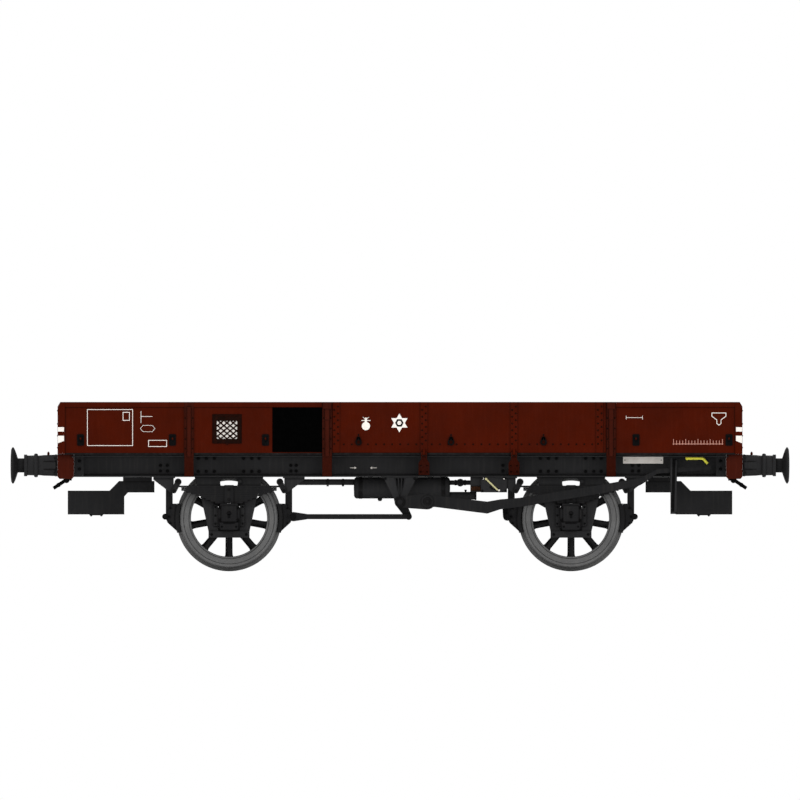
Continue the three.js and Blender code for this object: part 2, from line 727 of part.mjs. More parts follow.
// Hangs the hand-brake shaft from the solebar of one side.
function shaftBracketGeometry() {
  const { outerTop, innerTop, innerFoot, outerFoot, footHalf, ribHalf, ribInset } = shaftBracket;
  const front = -solebarEdge + shaftBracket.setBack;
  const back = front + plate;
  const foot = shaftHeight + shaftBracket.rise;
  const legs = [-1, 1].map((way) => plateXZ(polygon([
    [way * outerTop, frameBottom + bite], [way * innerTop, frameBottom + bite],
    [way * innerFoot, foot], [way * outerFoot, foot],
  ]), front, back));
  const flange = block(-footHalf, footHalf, front, front + shaftBracket.footDepth,
    frameBottom - plate, frameBottom + bite);
  const boss = crossBar(0, shaftHeight, front - shaftBracket.bossOver,
    back + shaftBracket.bossOver, shaftBracket.boss, 14);
  const ribs = [-1.5, -0.5, 0.5, 1.5].map((step) => {
    const top = step * shaftBracket.ribPitch;
    const low = top * shaftBracket.ribTaper;
    return plateXZ(polygon([
      [top - ribHalf, frameBottom - plate + bite], [top + ribHalf, frameBottom - plate + bite],
      [low + ribHalf, foot], [low - ribHalf, foot],
    ]), front + ribInset, back - ribInset);
  });
  return [...legs, flange, boss, ...ribs];
}

// Centre beams between two places along the wagon, with flanges turned outwards.
function centreBeams(x0, x1) {
  return [-1, 1].map((side) => {
    const inner = side * (centreBeam.y - centreBeam.width / 2);
    const outer = side * (centreBeam.y + centreBeam.width / 2);
    return plateYZ(polygon([
      [inner, frameBottom],
      [outer, frameBottom],
      [outer, frameBottom + plate],
      [inner + side * plate, frameBottom + plate],
      [inner + side * plate, frameTop - plate],
      [outer, frameTop - plate],
      [outer, frameTop],
      [inner, frameTop],
    ]), x0, x1);
  });
}

function crossMember(x) {
  const half = crossbar.width / 2;
  const reach = solebarWeb - seat;
  const lift = frameBottom + crossbar.lift;
  return plateXZ(polygon([
    [x - half, lift],
    [x + half, lift],
    [x + half, lift + plate],
    [x - half + plate, lift + plate],
    [x - half + plate, frameTop],
    [x - half, frameTop],
  ]), -reach, reach);
}

// The two lugs that carry a brake beam's hangers, on one side of an axle.
function hangerLugs(axleX, way) {
  const x = axleX + way * brake.hangerX;
  return [-1, 1].map((side) => block(x - way * hanger.lugBack, x + way * hanger.lugFront,
    side * brake.plane - hanger.lugHalf, side * brake.plane + hanger.lugHalf,
    brake.hangerZ + hanger.radius + seat, frameBottom + crossbar.lift + bite));
}

// Between the outer cross members: the middle of the frame, with the inner brakes' lugs.
function innerFrameGeometry() {
  const axleBarX = wheelBase / 2 - crossbar.outer;
  const members = [-axleBarX, -crossbar.inner, crossbar.inner, axleBarX];
  return join(centreBeams(-endFrameStart + seat, endFrameStart - seat),
    members.map(crossMember), axles.flatMap(({ x }) => hangerLugs(x, -Math.sign(x))));
}

// From the outer cross member of the right axle to the headstock.
function endFrameGeometry() {
  const member = crossMember(endFrameStart + crossbar.width / 2);
  return join(centreBeams(endFrameStart, headstockInner - seat), member,
    hangerLugs(wheelBase / 2, 1));
}

function floorGeometry() {
  const end = endBoard.inner - seat;
  const count = Math.max(plank.minimum, Math.round(2 * end / plank.width));
  const pitch = 2 * end / count;
  const outline = [[end, floorTop], [end, floorBottom], [-end, floorBottom], [-end, floorTop]];
  for (let i = 1; i < count; i += 1) {
    const x = -end + i * pitch;
    outline.push([x - plank.gap / 2, floorTop], [x, floorTop - plank.groove],
      [x + plank.gap / 2, floorTop]);
  }
  const half = sideInner - swing;
  return join(plateXZ(polygon(outline), -half, half));
}

// ---------------------------------------------------------------- ends

const endBoard = {
  outer: endPostInner - seat, inner: endPostInner - seat - sideThickness, lift: 1,
};
const endPost = { y: 450, width: 110, chamferDown: 50, chamferIn: 30 };
const corner = { width: 55 };
const headstock = { lipDrop: 22, lipInset: 22 };
const pipe = {
  y: 420, footIn: 155, footOut: 70, footHalf: 30, footDrop: 39, elbowIn: 105, elbowDrop: 24,
  out: 39, drop: 121, radius: 17,
};

function endWallGeometry() {
  const boards = block(endBoard.inner, endBoard.outer, -sideInner + seat, sideInner - seat,
    floorBottom + endBoard.lift, sideTop);
  const profile = polygon([
    [endBoard.outer - bite, frameTop + seat],
    [headstockOuter, frameTop + seat],
    [headstockOuter, sideTop - endPost.chamferDown],
    [headstockOuter - endPost.chamferIn, sideTop],
    [endBoard.outer - bite, sideTop],
  ]);
  const pieces = [boards];
  for (const side of [-1, 1]) {
    const middle = side * endPost.y;
    pieces.push(plateXZ(profile, middle - endPost.width / 2, middle + endPost.width / 2));
    const lap = side * (sideInner - corner.width);
    const outside = side * (sideOuter + postProud);
    const post = plateXZ(profile, lap, outside);
    const beyondSide = block(endBoard.outer - 2 * bite, endPostInner, side * (sideInner - seat),
      2 * outside, frameTop, sideTop + bite);
    pieces.push(cut(post, beyondSide));
  }
  return join(pieces);
}

function headstockGeometry() {
  const { lipDrop, lipInset } = headstock;
  const beam = block(headstockInner, headstockOuter, -headstockHalf, headstockHalf,
    frameBottom, frameTop);
  const hollow = block(headstockInner - bite, headstockOuter - plate, -headstockHalf + plate,
    headstockHalf - plate, frameBottom + plate, frameTop - plate);
  const lip = plateXZ(polygon([
    [headstockInner + lipInset, frameBottom - lipDrop],
    [headstockOuter - lipInset, frameBottom - lipDrop],
    [headstockOuter, frameBottom + bite],
    [headstockInner, frameBottom + bite],
  ]), -headstockHalf, headstockHalf);
  const stubs = [-pipe.y, pipe.y].map((y) => join(
    block(headstockOuter - pipe.footIn, headstockOuter - pipe.footOut,
      y - pipe.footHalf, y + pipe.footHalf, frameBottom - pipe.footDrop, frameBottom - lipDrop + bite),
    bar([headstockOuter - pipe.elbowIn, y, frameBottom - pipe.elbowDrop],
      [headstockOuter + pipe.out, y, frameBottom - pipe.drop], pipe.radius, 8)));
  return join(cut(beam, hollow), lip, stubs);
}

// Buffer: lengths along x from the headstock outwards, and radii.
const buffer = {
  spacing: 1750, rise: 127, foot: 22, base: 118, baseLength: 159, barrel: 110, barrelLength: 368,
  ring: 130, ringStart: 213, ringLength: 46, ringEdge: 12, collar: 119, collarLength: 37,
  shank: 78, shankLength: 70, sink: 90, headLength: 78, head: 200, rimLength: 31, crown: 7,
  crownInset: 28, ribHalf: 7, ribRoot: 12, ribRise: 8, ribToe: 30, ribShort: 40, sides: 16,
};
const bufferHeight = frameBottom + buffer.rise;
const barrelEnd = headstockOuter + buffer.barrelLength;

function bufferHousingGeometry() {
  const { barrel, ring: band, ringEdge, collar, base, sides } = buffer;
  const foot = headstockOuter + seat;
  const bandStart = headstockOuter + buffer.ringStart;
  const bandEnd = bandStart + buffer.ringLength;
  const collarStart = barrelEnd - buffer.collarLength;
  const bore = fixedBore(buffer.shank, sides);
  const body = alongX([
    [bore, foot + buffer.foot / 2], [barrel, foot + buffer.foot / 2],
    [barrel, bandStart], [band, bandStart + ringEdge], [band, bandEnd - ringEdge],
    [barrel, bandEnd], [barrel, collarStart], [collar, collarStart], [collar, barrelEnd],
    [bore, barrelEnd],
  ], sides);
  const plug = alongX([[0, foot - bite], [bore, foot - bite], [bore, barrelEnd], [0, barrelEnd]],
    sides);
  const square = block(foot, foot + buffer.foot, -base, base, -base, base);
  const baseEnd = headstockOuter + buffer.baseLength;
  const rib = plateXZ(polygon([
    [foot + bite, barrel - buffer.ribRoot],
    [baseEnd, barrel - buffer.ribRoot],
    [baseEnd - buffer.ribShort, barrel + buffer.ribRise],
    [foot + buffer.foot, base + buffer.ribToe],
    [foot + bite, base + buffer.ribToe],
  ]), -buffer.ribHalf, buffer.ribHalf);
  const ribs = [0.25, 0.75, 1.25, 1.75].map((turn) => rib.clone().rotateX(turn * Math.PI));
  const room = block(foot, baseEnd, -base, base, -base, base);
  return join(body, cut(join(square, ...ribs.map((piece) => common(piece, room))), plug));
}

function bufferPlungerGeometry() {
  const neck = barrelEnd + buffer.shankLength;
  const face = neck + buffer.headLength;
  const rim = face - buffer.rimLength;
  return alongX([
    [0, barrelEnd - buffer.sink], [buffer.shank, barrelEnd - buffer.sink], [buffer.shank, neck],
    [buffer.head, rim], [buffer.head, rim + buffer.crown],
    [buffer.head - buffer.crownInset, face - buffer.crown], [0, face],
  ], buffer.sides);
}

const drawhook = {
  plate: 25, half: 130, height: 90, shankHalf: 28, shank: 155, out: 255, drop: 10, outer: 82,
  inner: 34, innerBack: 2, innerLift: 4, root: 34, throat: 50, beak: 20, tip: 78, notch: 40,
  chin: 25, lip: 8, thickness: 52,
};

function drawhookGeometry() {
  const foot = headstockOuter + seat;
  const root = headstockOuter + drawhook.shank;
  const centre = headstockOuter + drawhook.out;
  const flange = block(foot, foot + drawhook.plate, -drawhook.half, drawhook.half,
    -drawhook.height, drawhook.height);
  const shank = block(foot + bite, root + drawhook.lip, -drawhook.shankHalf, drawhook.shankHalf,
    -drawhook.shankHalf, drawhook.shankHalf);
  const shape = new THREE.Shape();
  shape.moveTo(root, -drawhook.root);
  shape.lineTo(centre - drawhook.chin, -drawhook.tip);
  shape.absarc(centre, -drawhook.drop, drawhook.outer, -Math.PI * 0.6, Math.PI * 0.28, false);
  shape.lineTo(centre + drawhook.beak, drawhook.tip);
  shape.lineTo(centre + drawhook.lip, drawhook.notch);
  shape.absarc(centre - drawhook.innerBack, -drawhook.drop + drawhook.innerLift, drawhook.inner,
    Math.PI * 0.35, -Math.PI * 0.9, true);
  shape.lineTo(centre - drawhook.throat, drawhook.root);
  shape.lineTo(root, drawhook.root);
  const half = drawhook.thickness / 2;
  return join(flange, shank, plateXZ(shape, -half, half, 6)).translate(0, 0, bufferHeight);
}

// Cranked low housing for a centre coupling, open at its outer end. Lengths run inwards
// from its mouth, and heights are below the solebars.
const lowBox = {
  half: 150, wall: 12, mouth: 112, length: 620, slopeTop: 458, slopeEnd: 562, armLower: 661,
  armEnd: 951, armTop: 44, armBottom: 170, top: 150, bottom: 411, heel: 214,
  strapStart: 27, strapEnd: 606, strapGap: 11,
};

function lowHousingGeometry() {
  const { half, wall } = lowBox;
  const mouth = headstockOuter - lowBox.mouth;
  const x = (inwards) => mouth - inwards;
  const z = (down) => frameBottom - down;
  const outline = [
    [x(lowBox.armEnd), z(lowBox.armBottom)], [x(lowBox.armLower), z(lowBox.armBottom)],
    [x(lowBox.length), z(lowBox.heel)], [x(lowBox.length), z(lowBox.bottom)],
    [x(0), z(lowBox.bottom)], [x(0), z(lowBox.top)], [x(lowBox.slopeTop), z(lowBox.top)],
    [x(lowBox.slopeEnd), z(lowBox.armTop)], [x(lowBox.armEnd), z(lowBox.armTop)],
  ];
  const slant = wall / 2;
  const inner = [
    [x(lowBox.armEnd) + wall, z(lowBox.armBottom) + wall],
    [x(lowBox.armLower) + slant, z(lowBox.armBottom) + wall],
    [x(lowBox.length) + wall, z(lowBox.heel) + slant],
    [x(lowBox.length) + wall, z(lowBox.bottom) + wall],
    [x(0) + wall, z(lowBox.bottom) + wall],
    [x(0) + wall, z(lowBox.top) - wall],
    [x(lowBox.slopeTop) - slant, z(lowBox.top) - wall],
    [x(lowBox.slopeEnd) - slant, z(lowBox.armTop) - wall],
    [x(lowBox.armEnd) + wall, z(lowBox.armTop) - wall],
  ];
  const shell = cut(plateXZ(polygon(outline), -half, half),
    plateXZ(polygon(inner), -half + wall, half - wall));
  const strapX = [x(lowBox.armEnd - lowBox.strapStart), x(lowBox.strapEnd)];
  const reach = centreBeam.y + centreBeam.width / 2;
  const strapTop = frameBottom - lowBox.strapGap;
  return join(shell,
    block(...strapX, -reach, reach, z(lowBox.armTop) - bite, strapTop),
    ...[-centreBeam.y, centreBeam.y].map((y) => block(...strapX, y - centreBeam.width / 2,
      y + centreBeam.width / 2, strapTop - bite, frameBottom - seat)));
}

function addEnd({ end, turn }) {
  const group = addGroup(wagon, { turn });
  addPiece(group, `headstock_${end}`, headstockGeometry(), paint.post);
  addPiece(group, `end_frame_${end}`, endFrameGeometry(), paint.frame);
  addPiece(group, `end_wall_${end}`, endWallGeometry(), paint.side);
  addPiece(group, `drawhook_${end}`, drawhookGeometry(), paint.iron);
  addPiece(group, `low_coupler_housing_${end}`, lowHousingGeometry(), paint.frame);
  for (const y of [-buffer.spacing / 2, buffer.spacing / 2]) {
    const side = (turn ? -y : y) < 0 ? "near" : "far";
    const place = addGroup(group, { y, z: bufferHeight });
    addPiece(place, `buffer_housing_${end}_${side}`, bufferHousingGeometry(), paint.frame);
    addPiece(place, `buffer_plunger_${end}_${side}`, bufferPlungerGeometry(), paint.iron);
  }
}

// ---------------------------------------------------------------- brakes

const rodOffset = 77;                 // of the push rods, outside a wheel's outer face
const rodPlane = wheelFace + rodOffset;
const rod = { thickness: 32, half: 28, over: 4 };

// Brake-shoe holder: half its thickness, and its outline from the top round the outside,
// as distances beyond the shoe's back and heights about the brake pin.
const holder = {
  half: 20, sink: 8,
  outline: [
    { out: -20, up: 143 }, { out: 39, up: 143 }, { out: 52, up: 104 }, { out: 84, up: 62 },
    { out: 98, up: 32 }, { out: 134, up: 15 }, { out: 134, up: -12 }, { out: 98, up: -34 },
    { out: 84, up: -66 }, { out: 50, up: -98 }, { out: 20, up: -124 }, { out: -16, up: -158 },
    { out: -30, up: -139 },
  ],
};

// Brake beam of one side of an axle: a cross bar with two hangers and two blocks.
function brakeBeamGeometry(way) {
  const back = tyre.tread + shoe.gap + shoe.thickness;
  const reach = rodPlane + rod.thickness / 2 + rod.over;
  const wheelRound = new THREE.Shape();
  wheelRound.absarc(0, axleHeight, back - holder.sink, 0, 2 * Math.PI, false);
  const outline = holder.outline.map(({ out, up }) => [back + out, brake.z + up]);
  const arm = cut(plateXZ(polygon(outline), -holder.half, holder.half),
    plateXZ(wheelRound, -shoe.half, shoe.half, 14));
  const sector = new THREE.Shape();
  sector.absarc(0, axleHeight, back, -shoe.down, shoe.up, false);
  sector.absarc(0, axleHeight, back - shoe.thickness, shoe.up, -shoe.down, true);
  const swingLink = link(brake.hangerX, brake.z, hanger.radius, brake.hangerX, brake.hangerZ,
    hanger.radius);
  const gear = join(plateXZ(sector, -shoe.half, shoe.half), arm,
    plateXZ(swingLink, -hanger.half, hanger.half));
  if (way < 0) gear.scale(-1, 1, 1);
  const beam = crossBar(way * brake.x, brake.z, -reach, reach, brakePin.radius, 10);
  return join(beam, ...[-1, 1].map((side) => gear.clone().translate(0, side * brake.plane, 0)));
}

// Hand lever: a forged bar seen from outside, about the shaft.
const lever = {
  thickness: 20, hub: 52, hubOut: 8, hubIn: 30, boss: 60, rootX: 300, rootUp: 7, root: 88,
  // Stations along the bar: place along x, upper and lower edge above the shaft.
  stations: [
    { x: 330, top: 84, bottom: -58 }, { x: 380, top: 74, bottom: -53 },
    { x: 957, top: 6, bottom: -126 }, { x: 1100, top: 31, bottom: -79 },
    { x: 1315, top: 48, bottom: -52 }, { x: 2247, top: 199, bottom: 100 },
    { x: 2632, top: 266, bottom: 184 }, { x: 2700, top: 300, bottom: 226 },
    { x: 2820, top: 366, bottom: 313 }, { x: 3412, top: 400, bottom: 353 },
  ],
};
lever.inner = solebarEdge + leverRoom;
lever.outer = lever.inner + lever.thickness;

function leverGeometry() {
  const upper = lever.stations.map(({ x, top }) => [x, shaftHeight + top]);
  const lower = lever.stations.map(({ x, bottom }) => [x, shaftHeight + bottom]).reverse();
  const beam = plateXZ(polygon([...upper, ...lower]), -lever.outer, -lever.inner);
  const root = plateXZ(link(0, shaftHeight, lever.boss, lever.rootX, shaftHeight + lever.rootUp,
    lever.root), -lever.outer, -lever.inner, 5);
  const collar = crossBar(0, shaftHeight, -lever.outer - lever.hubOut, -lever.inner + lever.hubIn,
    lever.hub, shaft.sides);
  const bore = crossBar(0, shaftHeight, -lever.outer - 2 * lever.hub, -lever.inner + 2 * lever.hub,
    turningBore(shaft.radius, shaft.sides), shaft.sides);
  return cut(join(beam, root, collar), bore);
}

// Slotted guide for the lever, on the near solebar.
const guide = {
  x: 3000, half: 35, top: 39, bottom: 130, gap: 6, thickness: 8, end: 20, inset: 10, wall: 12,
  arm: 47, wallUp: 4,
};

function leverGuideGeometry() {
  const x0 = guide.x - guide.half;
  const x1 = guide.x + guide.half;
  const top = frameTop - guide.top;
  const bottom = shaftHeight - guide.bottom;
  const back = -lever.inner + guide.gap;
  const front = -lever.outer - guide.gap;
  const wall = -solebarEdge - guide.wall;
  return [
    block(x0, x1, back, back + guide.thickness, bottom, top),
    block(x0, x1, front - guide.thickness, front, bottom, top),
    block(x0, x1, front - bite, back + bite, bottom, bottom + guide.end),
    block(x0, x1, front - bite, back + bite, top - guide.end, top),
    block(x0 + guide.inset, x1 - guide.inset, back + bite, wall + bite, top - guide.arm, top),
    block(x0 + guide.inset, x1 - guide.inset, wall, -solebarEdge + bite,
      frameBottom + guide.wallUp, top),
  ];
}

// Crank arms on the shaft: radii, and places of their pins about the shaft.
const crank = {
  thickness: 28, boss: 58, eye: 36, pin: 12, pinOver: 24,
  pushX: 95, pushInset: 32, pullX: -50, pullUp: 122,
};
const push = { y: rodPlane - crank.pushInset, x: crank.pushX, z: brake.z };
const pull = { y: 0, x: crank.pullX, z: shaftHeight + crank.pullUp };
const pullRodInner = pull.y + crank.thickness / 2 + seat;
const pullRodOuter = pullRodInner + rod.thickness;

function brakeShaftGeometry() {
  const half = crank.thickness / 2;
  const end = lever.outer + lever.hubOut + swing;
  const pieces = [crossBar(0, shaftHeight, -end, solebarEdge, shaft.radius, shaft.sides)];
  for (const side of [-1, 1]) {
    const y = side * push.y;
    pieces.push(
      plateXZ(link(0, shaftHeight, crank.boss, push.x, push.z, crank.eye), y - half, y + half),
      crossBar(push.x, push.z, y, side * (rodPlane + crank.pinOver), crank.pin, 8));
  }
  pieces.push(
    plateXZ(link(0, shaftHeight, crank.boss, pull.x, pull.z, crank.eye), pull.y - half,
      pull.y + half),
    crossBar(pull.x, pull.z, pull.y, pullRodOuter + crank.pinOver, crank.pin, 8));
  return join(pieces);
}

// Rods from the cranks to the inner brake beams: jaws and eyes round their pins.
const rodEnd = { jaw: 52, taper: 150, neck: 30, start: 100, eye: 30, barRadius: 15 };
const beamLever = { root: 46, back: 25, rise: 121, eye: 28 };

// Presses the inner blocks of the left axle, one rod on each side.
function pushRodGeometry() {
  const pinX = -wheelBase / 2 + brake.x;
  const half = rod.thickness / 2;
  const strut = block(pinX + rodEnd.start, push.x, -half, half, brake.z - rod.half,
    brake.z + rod.half);
  const jaw = plateXZ(link(pinX, brake.z, rodEnd.jaw, pinX + rodEnd.taper, brake.z, rodEnd.neck),
    -half, half);
  const eyelet = crossBar(push.x, push.z, -half, half, rodEnd.eye, 10);
  return cut(join(strut, jaw, eyelet),
    crossBar(pinX, brake.z, -2 * half, 2 * half, fixedBore(brakePin.radius, 10), 10),
    crossBar(push.x, push.z, -2 * half, 2 * half, fixedBore(crank.pin, 8), 8));
}

// Pulls on the inner brake beam of the right axle, in the middle.
function pullRodGeometry() {
  const pinX = wheelBase / 2 - brake.x;
  const middle = (pullRodInner + pullRodOuter) / 2;
  const top = { x: pinX - beamLever.back, z: brake.z + beamLever.rise };
  const rocker = plateXZ(link(pinX, brake.z, beamLever.root, top.x, top.z, beamLever.eye),
    pullRodInner, pullRodOuter);
  const eyelet = crossBar(pull.x, pull.z, pullRodInner, pullRodOuter, rodEnd.eye, 10);
  const strut = bar([pull.x, middle, pull.z], [top.x, middle, top.z], rodEnd.barRadius, 8);
  const past = rod.thickness;
  return cut(join(rocker, eyelet, strut),
    crossBar(pinX, brake.z, pullRodInner - past, pullRodOuter + past,
      fixedBore(brakePin.radius, 10), 10),
    crossBar(pull.x, pull.z, pullRodInner - past, pullRodOuter + past,
      fixedBore(crank.pin, 8), 8));
}

// Plate of the empty or loaded changeover, hung from the near solebar, with its spring.
const changeover = {
  left: 888, right: 1173, drop: 169, setBack: 10, thickness: 10, rodDrop: 127, rodStart: 795,
  rodRadius: 14, rodIn: 24, lug: 12, lugDrop: 149,
};

function changeoverGeometry() {
  const { left, right, lug } = changeover;
  const front = -solebarEdge + changeover.setBack;
  const rodY = front + changeover.rodIn;
  const rodZ = frameBottom - changeover.rodDrop;
  return [
    block(left, right, front, front + changeover.thickness, frameBottom - changeover.drop,
      frameBottom + bite),
    bar([changeover.rodStart, rodY, rodZ], [left + lug, rodY, rodZ], changeover.rodRadius, 8),
    block(left, left + lug, front + bite, rodY + changeover.rodIn,
      frameBottom - changeover.lugDrop, rodZ + changeover.rodIn),
  ];
}

// Air reservoir with the pipes that run from it, along x on the near side.
const reservoir = {
  y: 690, radius: 118, left: -507, right: 515, cap: 30, capRadius: 98, sides: 16,
  saddleHalf: 25, saddleReach: 60, sink: 20, drainX: -220, drain: 18, drainDrop: 28,
};
const mainPipe = {
  drop: 56, radius: 33, past: 15, clipHalf: 12, clipDrop: 14, clips: [-793, -625],
};
const valvePipe = { drop: 57, radius: 12, short: 25, valveX: 663, valve: 33, valveHalf: 20 };
const lowPipe = { drop: 204, radius: 32, end: 839, tapX: 719, tap: 10, tapRise: 56 };

function reservoirGeometry() {
  const { y, radius, left, right, cap, capRadius, saddleHalf, saddleReach, sink } = reservoir;
  const height = frameBottom - seat - radius;
  const hook = (x) => block(x - mainPipe.clipHalf, x + mainPipe.clipHalf, -y - mainPipe.clipHalf,
    -y + mainPipe.clipHalf, frameBottom - mainPipe.drop - mainPipe.radius - mainPipe.clipDrop,
    frameBottom - mainPipe.drop);
  const riser = (x, drop) => block(x - mainPipe.clipHalf, x + mainPipe.clipHalf,
    -y - mainPipe.clipHalf, -y + mainPipe.clipHalf, frameBottom - drop,
    frameBottom + crossbar.lift - seat);
  const run = (from, to, { drop, radius: size }, sides = 8) => bar(
    [from, -y, frameBottom - drop], [to, -y, frameBottom - drop], size, sides);
  const tank = alongX([
    [0, left], [capRadius, left], [radius, left + cap], [radius, right - cap],
    [capRadius, right], [0, right],
  ], reservoir.sides).translate(0, -y, height);
  const drain = bar([reservoir.drainX, -y, height - radius - reservoir.drainDrop],
    [reservoir.drainX, -y, height], reservoir.drain, 8);
  const saddles = [-crossbar.inner, crossbar.inner].map((x) => block(x - saddleHalf,
    x + saddleHalf, -y - saddleReach, -y + saddleReach, height + radius - sink,
    frameBottom + crossbar.lift - seat));
  const valveZ = frameBottom - valvePipe.drop;
  const leftBar = -wheelBase / 2 + crossbar.outer;
  const rightBar = wheelBase / 2 - crossbar.outer;
  return join(tank, drain, saddles,
    run(left + cap, leftBar - mainPipe.past, mainPipe), mainPipe.clips.map(hook),
    riser(leftBar, mainPipe.drop),
    run(right - cap, rightBar - valvePipe.short, valvePipe),
    riser(rightBar - 2 * mainPipe.clipHalf, valvePipe.drop),
    crossBar(valvePipe.valveX, valveZ, -y - valvePipe.valveHalf, -y + valvePipe.valveHalf,
      valvePipe.valve, 10),
    run(right - cap, lowPipe.end, lowPipe),
    bar([lowPipe.tapX, -y, frameBottom - lowPipe.drop],
      [lowPipe.tapX, -y, frameBottom - lowPipe.drop + lowPipe.tapRise], lowPipe.tap, 6));
}

function addBrakes() {
  for (const { end, x } of axles) {
    for (const way of [-1, 1]) {
      const which = way * Math.sign(x) > 0 ? "outer" : "inner";
      addPiece(addGroup(wagon, { x }), `brake_beam_${end}_${which}`, brakeBeamGeometry(way),
        paint.iron);
    }
  }
  for (const [side, y] of [["near", -rodPlane], ["far", rodPlane]]) {
    addPiece(addGroup(wagon, { y }), `push_rod_${side}`, pushRodGeometry(), paint.iron);
  }
  addPiece(wagon, "pull_rod", pullRodGeometry(), paint.iron);
  addPiece(wagon, "brake_shaft", brakeShaftGeometry(), paint.iron);
  addPiece(wagon, "hand_brake_lever", leverGeometry(), paint.iron);
  addPiece(wagon, "air_reservoir", reservoirGeometry(), paint.frame);
}

// ---------------------------------------------------------------- the wagon

halfTurns.forEach(addSide);
addPiece(wagon, "inner_frame", innerFrameGeometry(), paint.frame);
addPiece(wagon, "floor_planks", floorGeometry(), paint.planks);
halfTurns.forEach(addEnd);
axles.forEach(addAxle);
addBrakes();

export default wagon;
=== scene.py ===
# Looks of the low flat wagon: materials, fine pieces, light and camera.
# Units are metres. X runs along the wagon, Z is up, and the near side is y < 0.
# A form is made for the near side or the right end, and a half turn gives the other one.
import json
import math
from itertools import chain, product

import bpy
from mathutils import Matrix, Vector


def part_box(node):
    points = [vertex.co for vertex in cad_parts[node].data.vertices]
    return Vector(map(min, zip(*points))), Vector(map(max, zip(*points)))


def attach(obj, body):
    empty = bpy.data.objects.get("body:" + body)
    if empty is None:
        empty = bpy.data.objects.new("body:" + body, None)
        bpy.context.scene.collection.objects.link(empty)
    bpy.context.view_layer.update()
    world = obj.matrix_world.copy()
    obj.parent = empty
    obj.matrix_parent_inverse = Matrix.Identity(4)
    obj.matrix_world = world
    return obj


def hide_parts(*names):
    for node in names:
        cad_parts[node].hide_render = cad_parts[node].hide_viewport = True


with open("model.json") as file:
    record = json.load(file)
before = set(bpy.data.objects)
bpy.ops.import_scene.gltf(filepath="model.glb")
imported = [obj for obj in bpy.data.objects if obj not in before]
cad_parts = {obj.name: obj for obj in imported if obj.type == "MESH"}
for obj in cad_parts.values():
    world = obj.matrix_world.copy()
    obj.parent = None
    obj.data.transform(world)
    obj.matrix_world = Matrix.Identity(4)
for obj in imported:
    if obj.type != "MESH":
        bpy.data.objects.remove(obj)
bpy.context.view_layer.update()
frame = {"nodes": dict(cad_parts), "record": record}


# ---- places, from the frame


def low(node):
    return Vector(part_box(node)[0])


def high(node):
    return Vector(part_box(node)[1])


def centre(node):
    return (low(node) + high(node)) / 2


FRAME_BOTTOM, FRAME_TOP = low("inner_frame").z, high("inner_frame").z
SIDE_TOP = high("side_panel_near_1").z
PANEL_BOTTOM = low("side_panel_near_1").z
SIDE_FACE = high("headstock_right").y + 0.060  # outer face of a side panel
SIDE_INNER = -high("side_panel_near_1").y  # its inner face
POST_FACE = SIDE_FACE + 0.012  # outer face of a side post
SOLEBAR_EDGE = -low("push_rod_near").y + 0.137  # edge of a solebar's flanges
SOLEBAR_WEB = SOLEBAR_EDGE - 0.095  # the back of its web
SPRING_PLANE = SOLEBAR_WEB + 0.050  # middle of the springs
AXLE_HEIGHT = centre("axle_left").z
AXLE_X = centre("axle_right").x
WHEEL_FACE = high("wheel_right_far").y - 0.012  # outer face of a tyre
END_X = high("end_wall_right").x  # outer face of the end beam
SHAFT_HEIGHT = FRAME_BOTTOM - 0.276  # the brake shaft
LEVER_FACE = -low("hand_brake_lever").y - 0.008
LOW_BOX = low("low_coupler_housing_right").z  # underside of the low coupler's housing
LIFT = 0.0006  # holds a mark just off its surface


# ---- materials


def linear(color):
    """Scene-linear colour, with alpha, of an sRGB one in parts of 255."""
    return (*(part / 12.92 if part <= 0.04045 else ((part + 0.055) / 1.055) ** 2.4
              for part in (value / 255 for value in color)), 1)


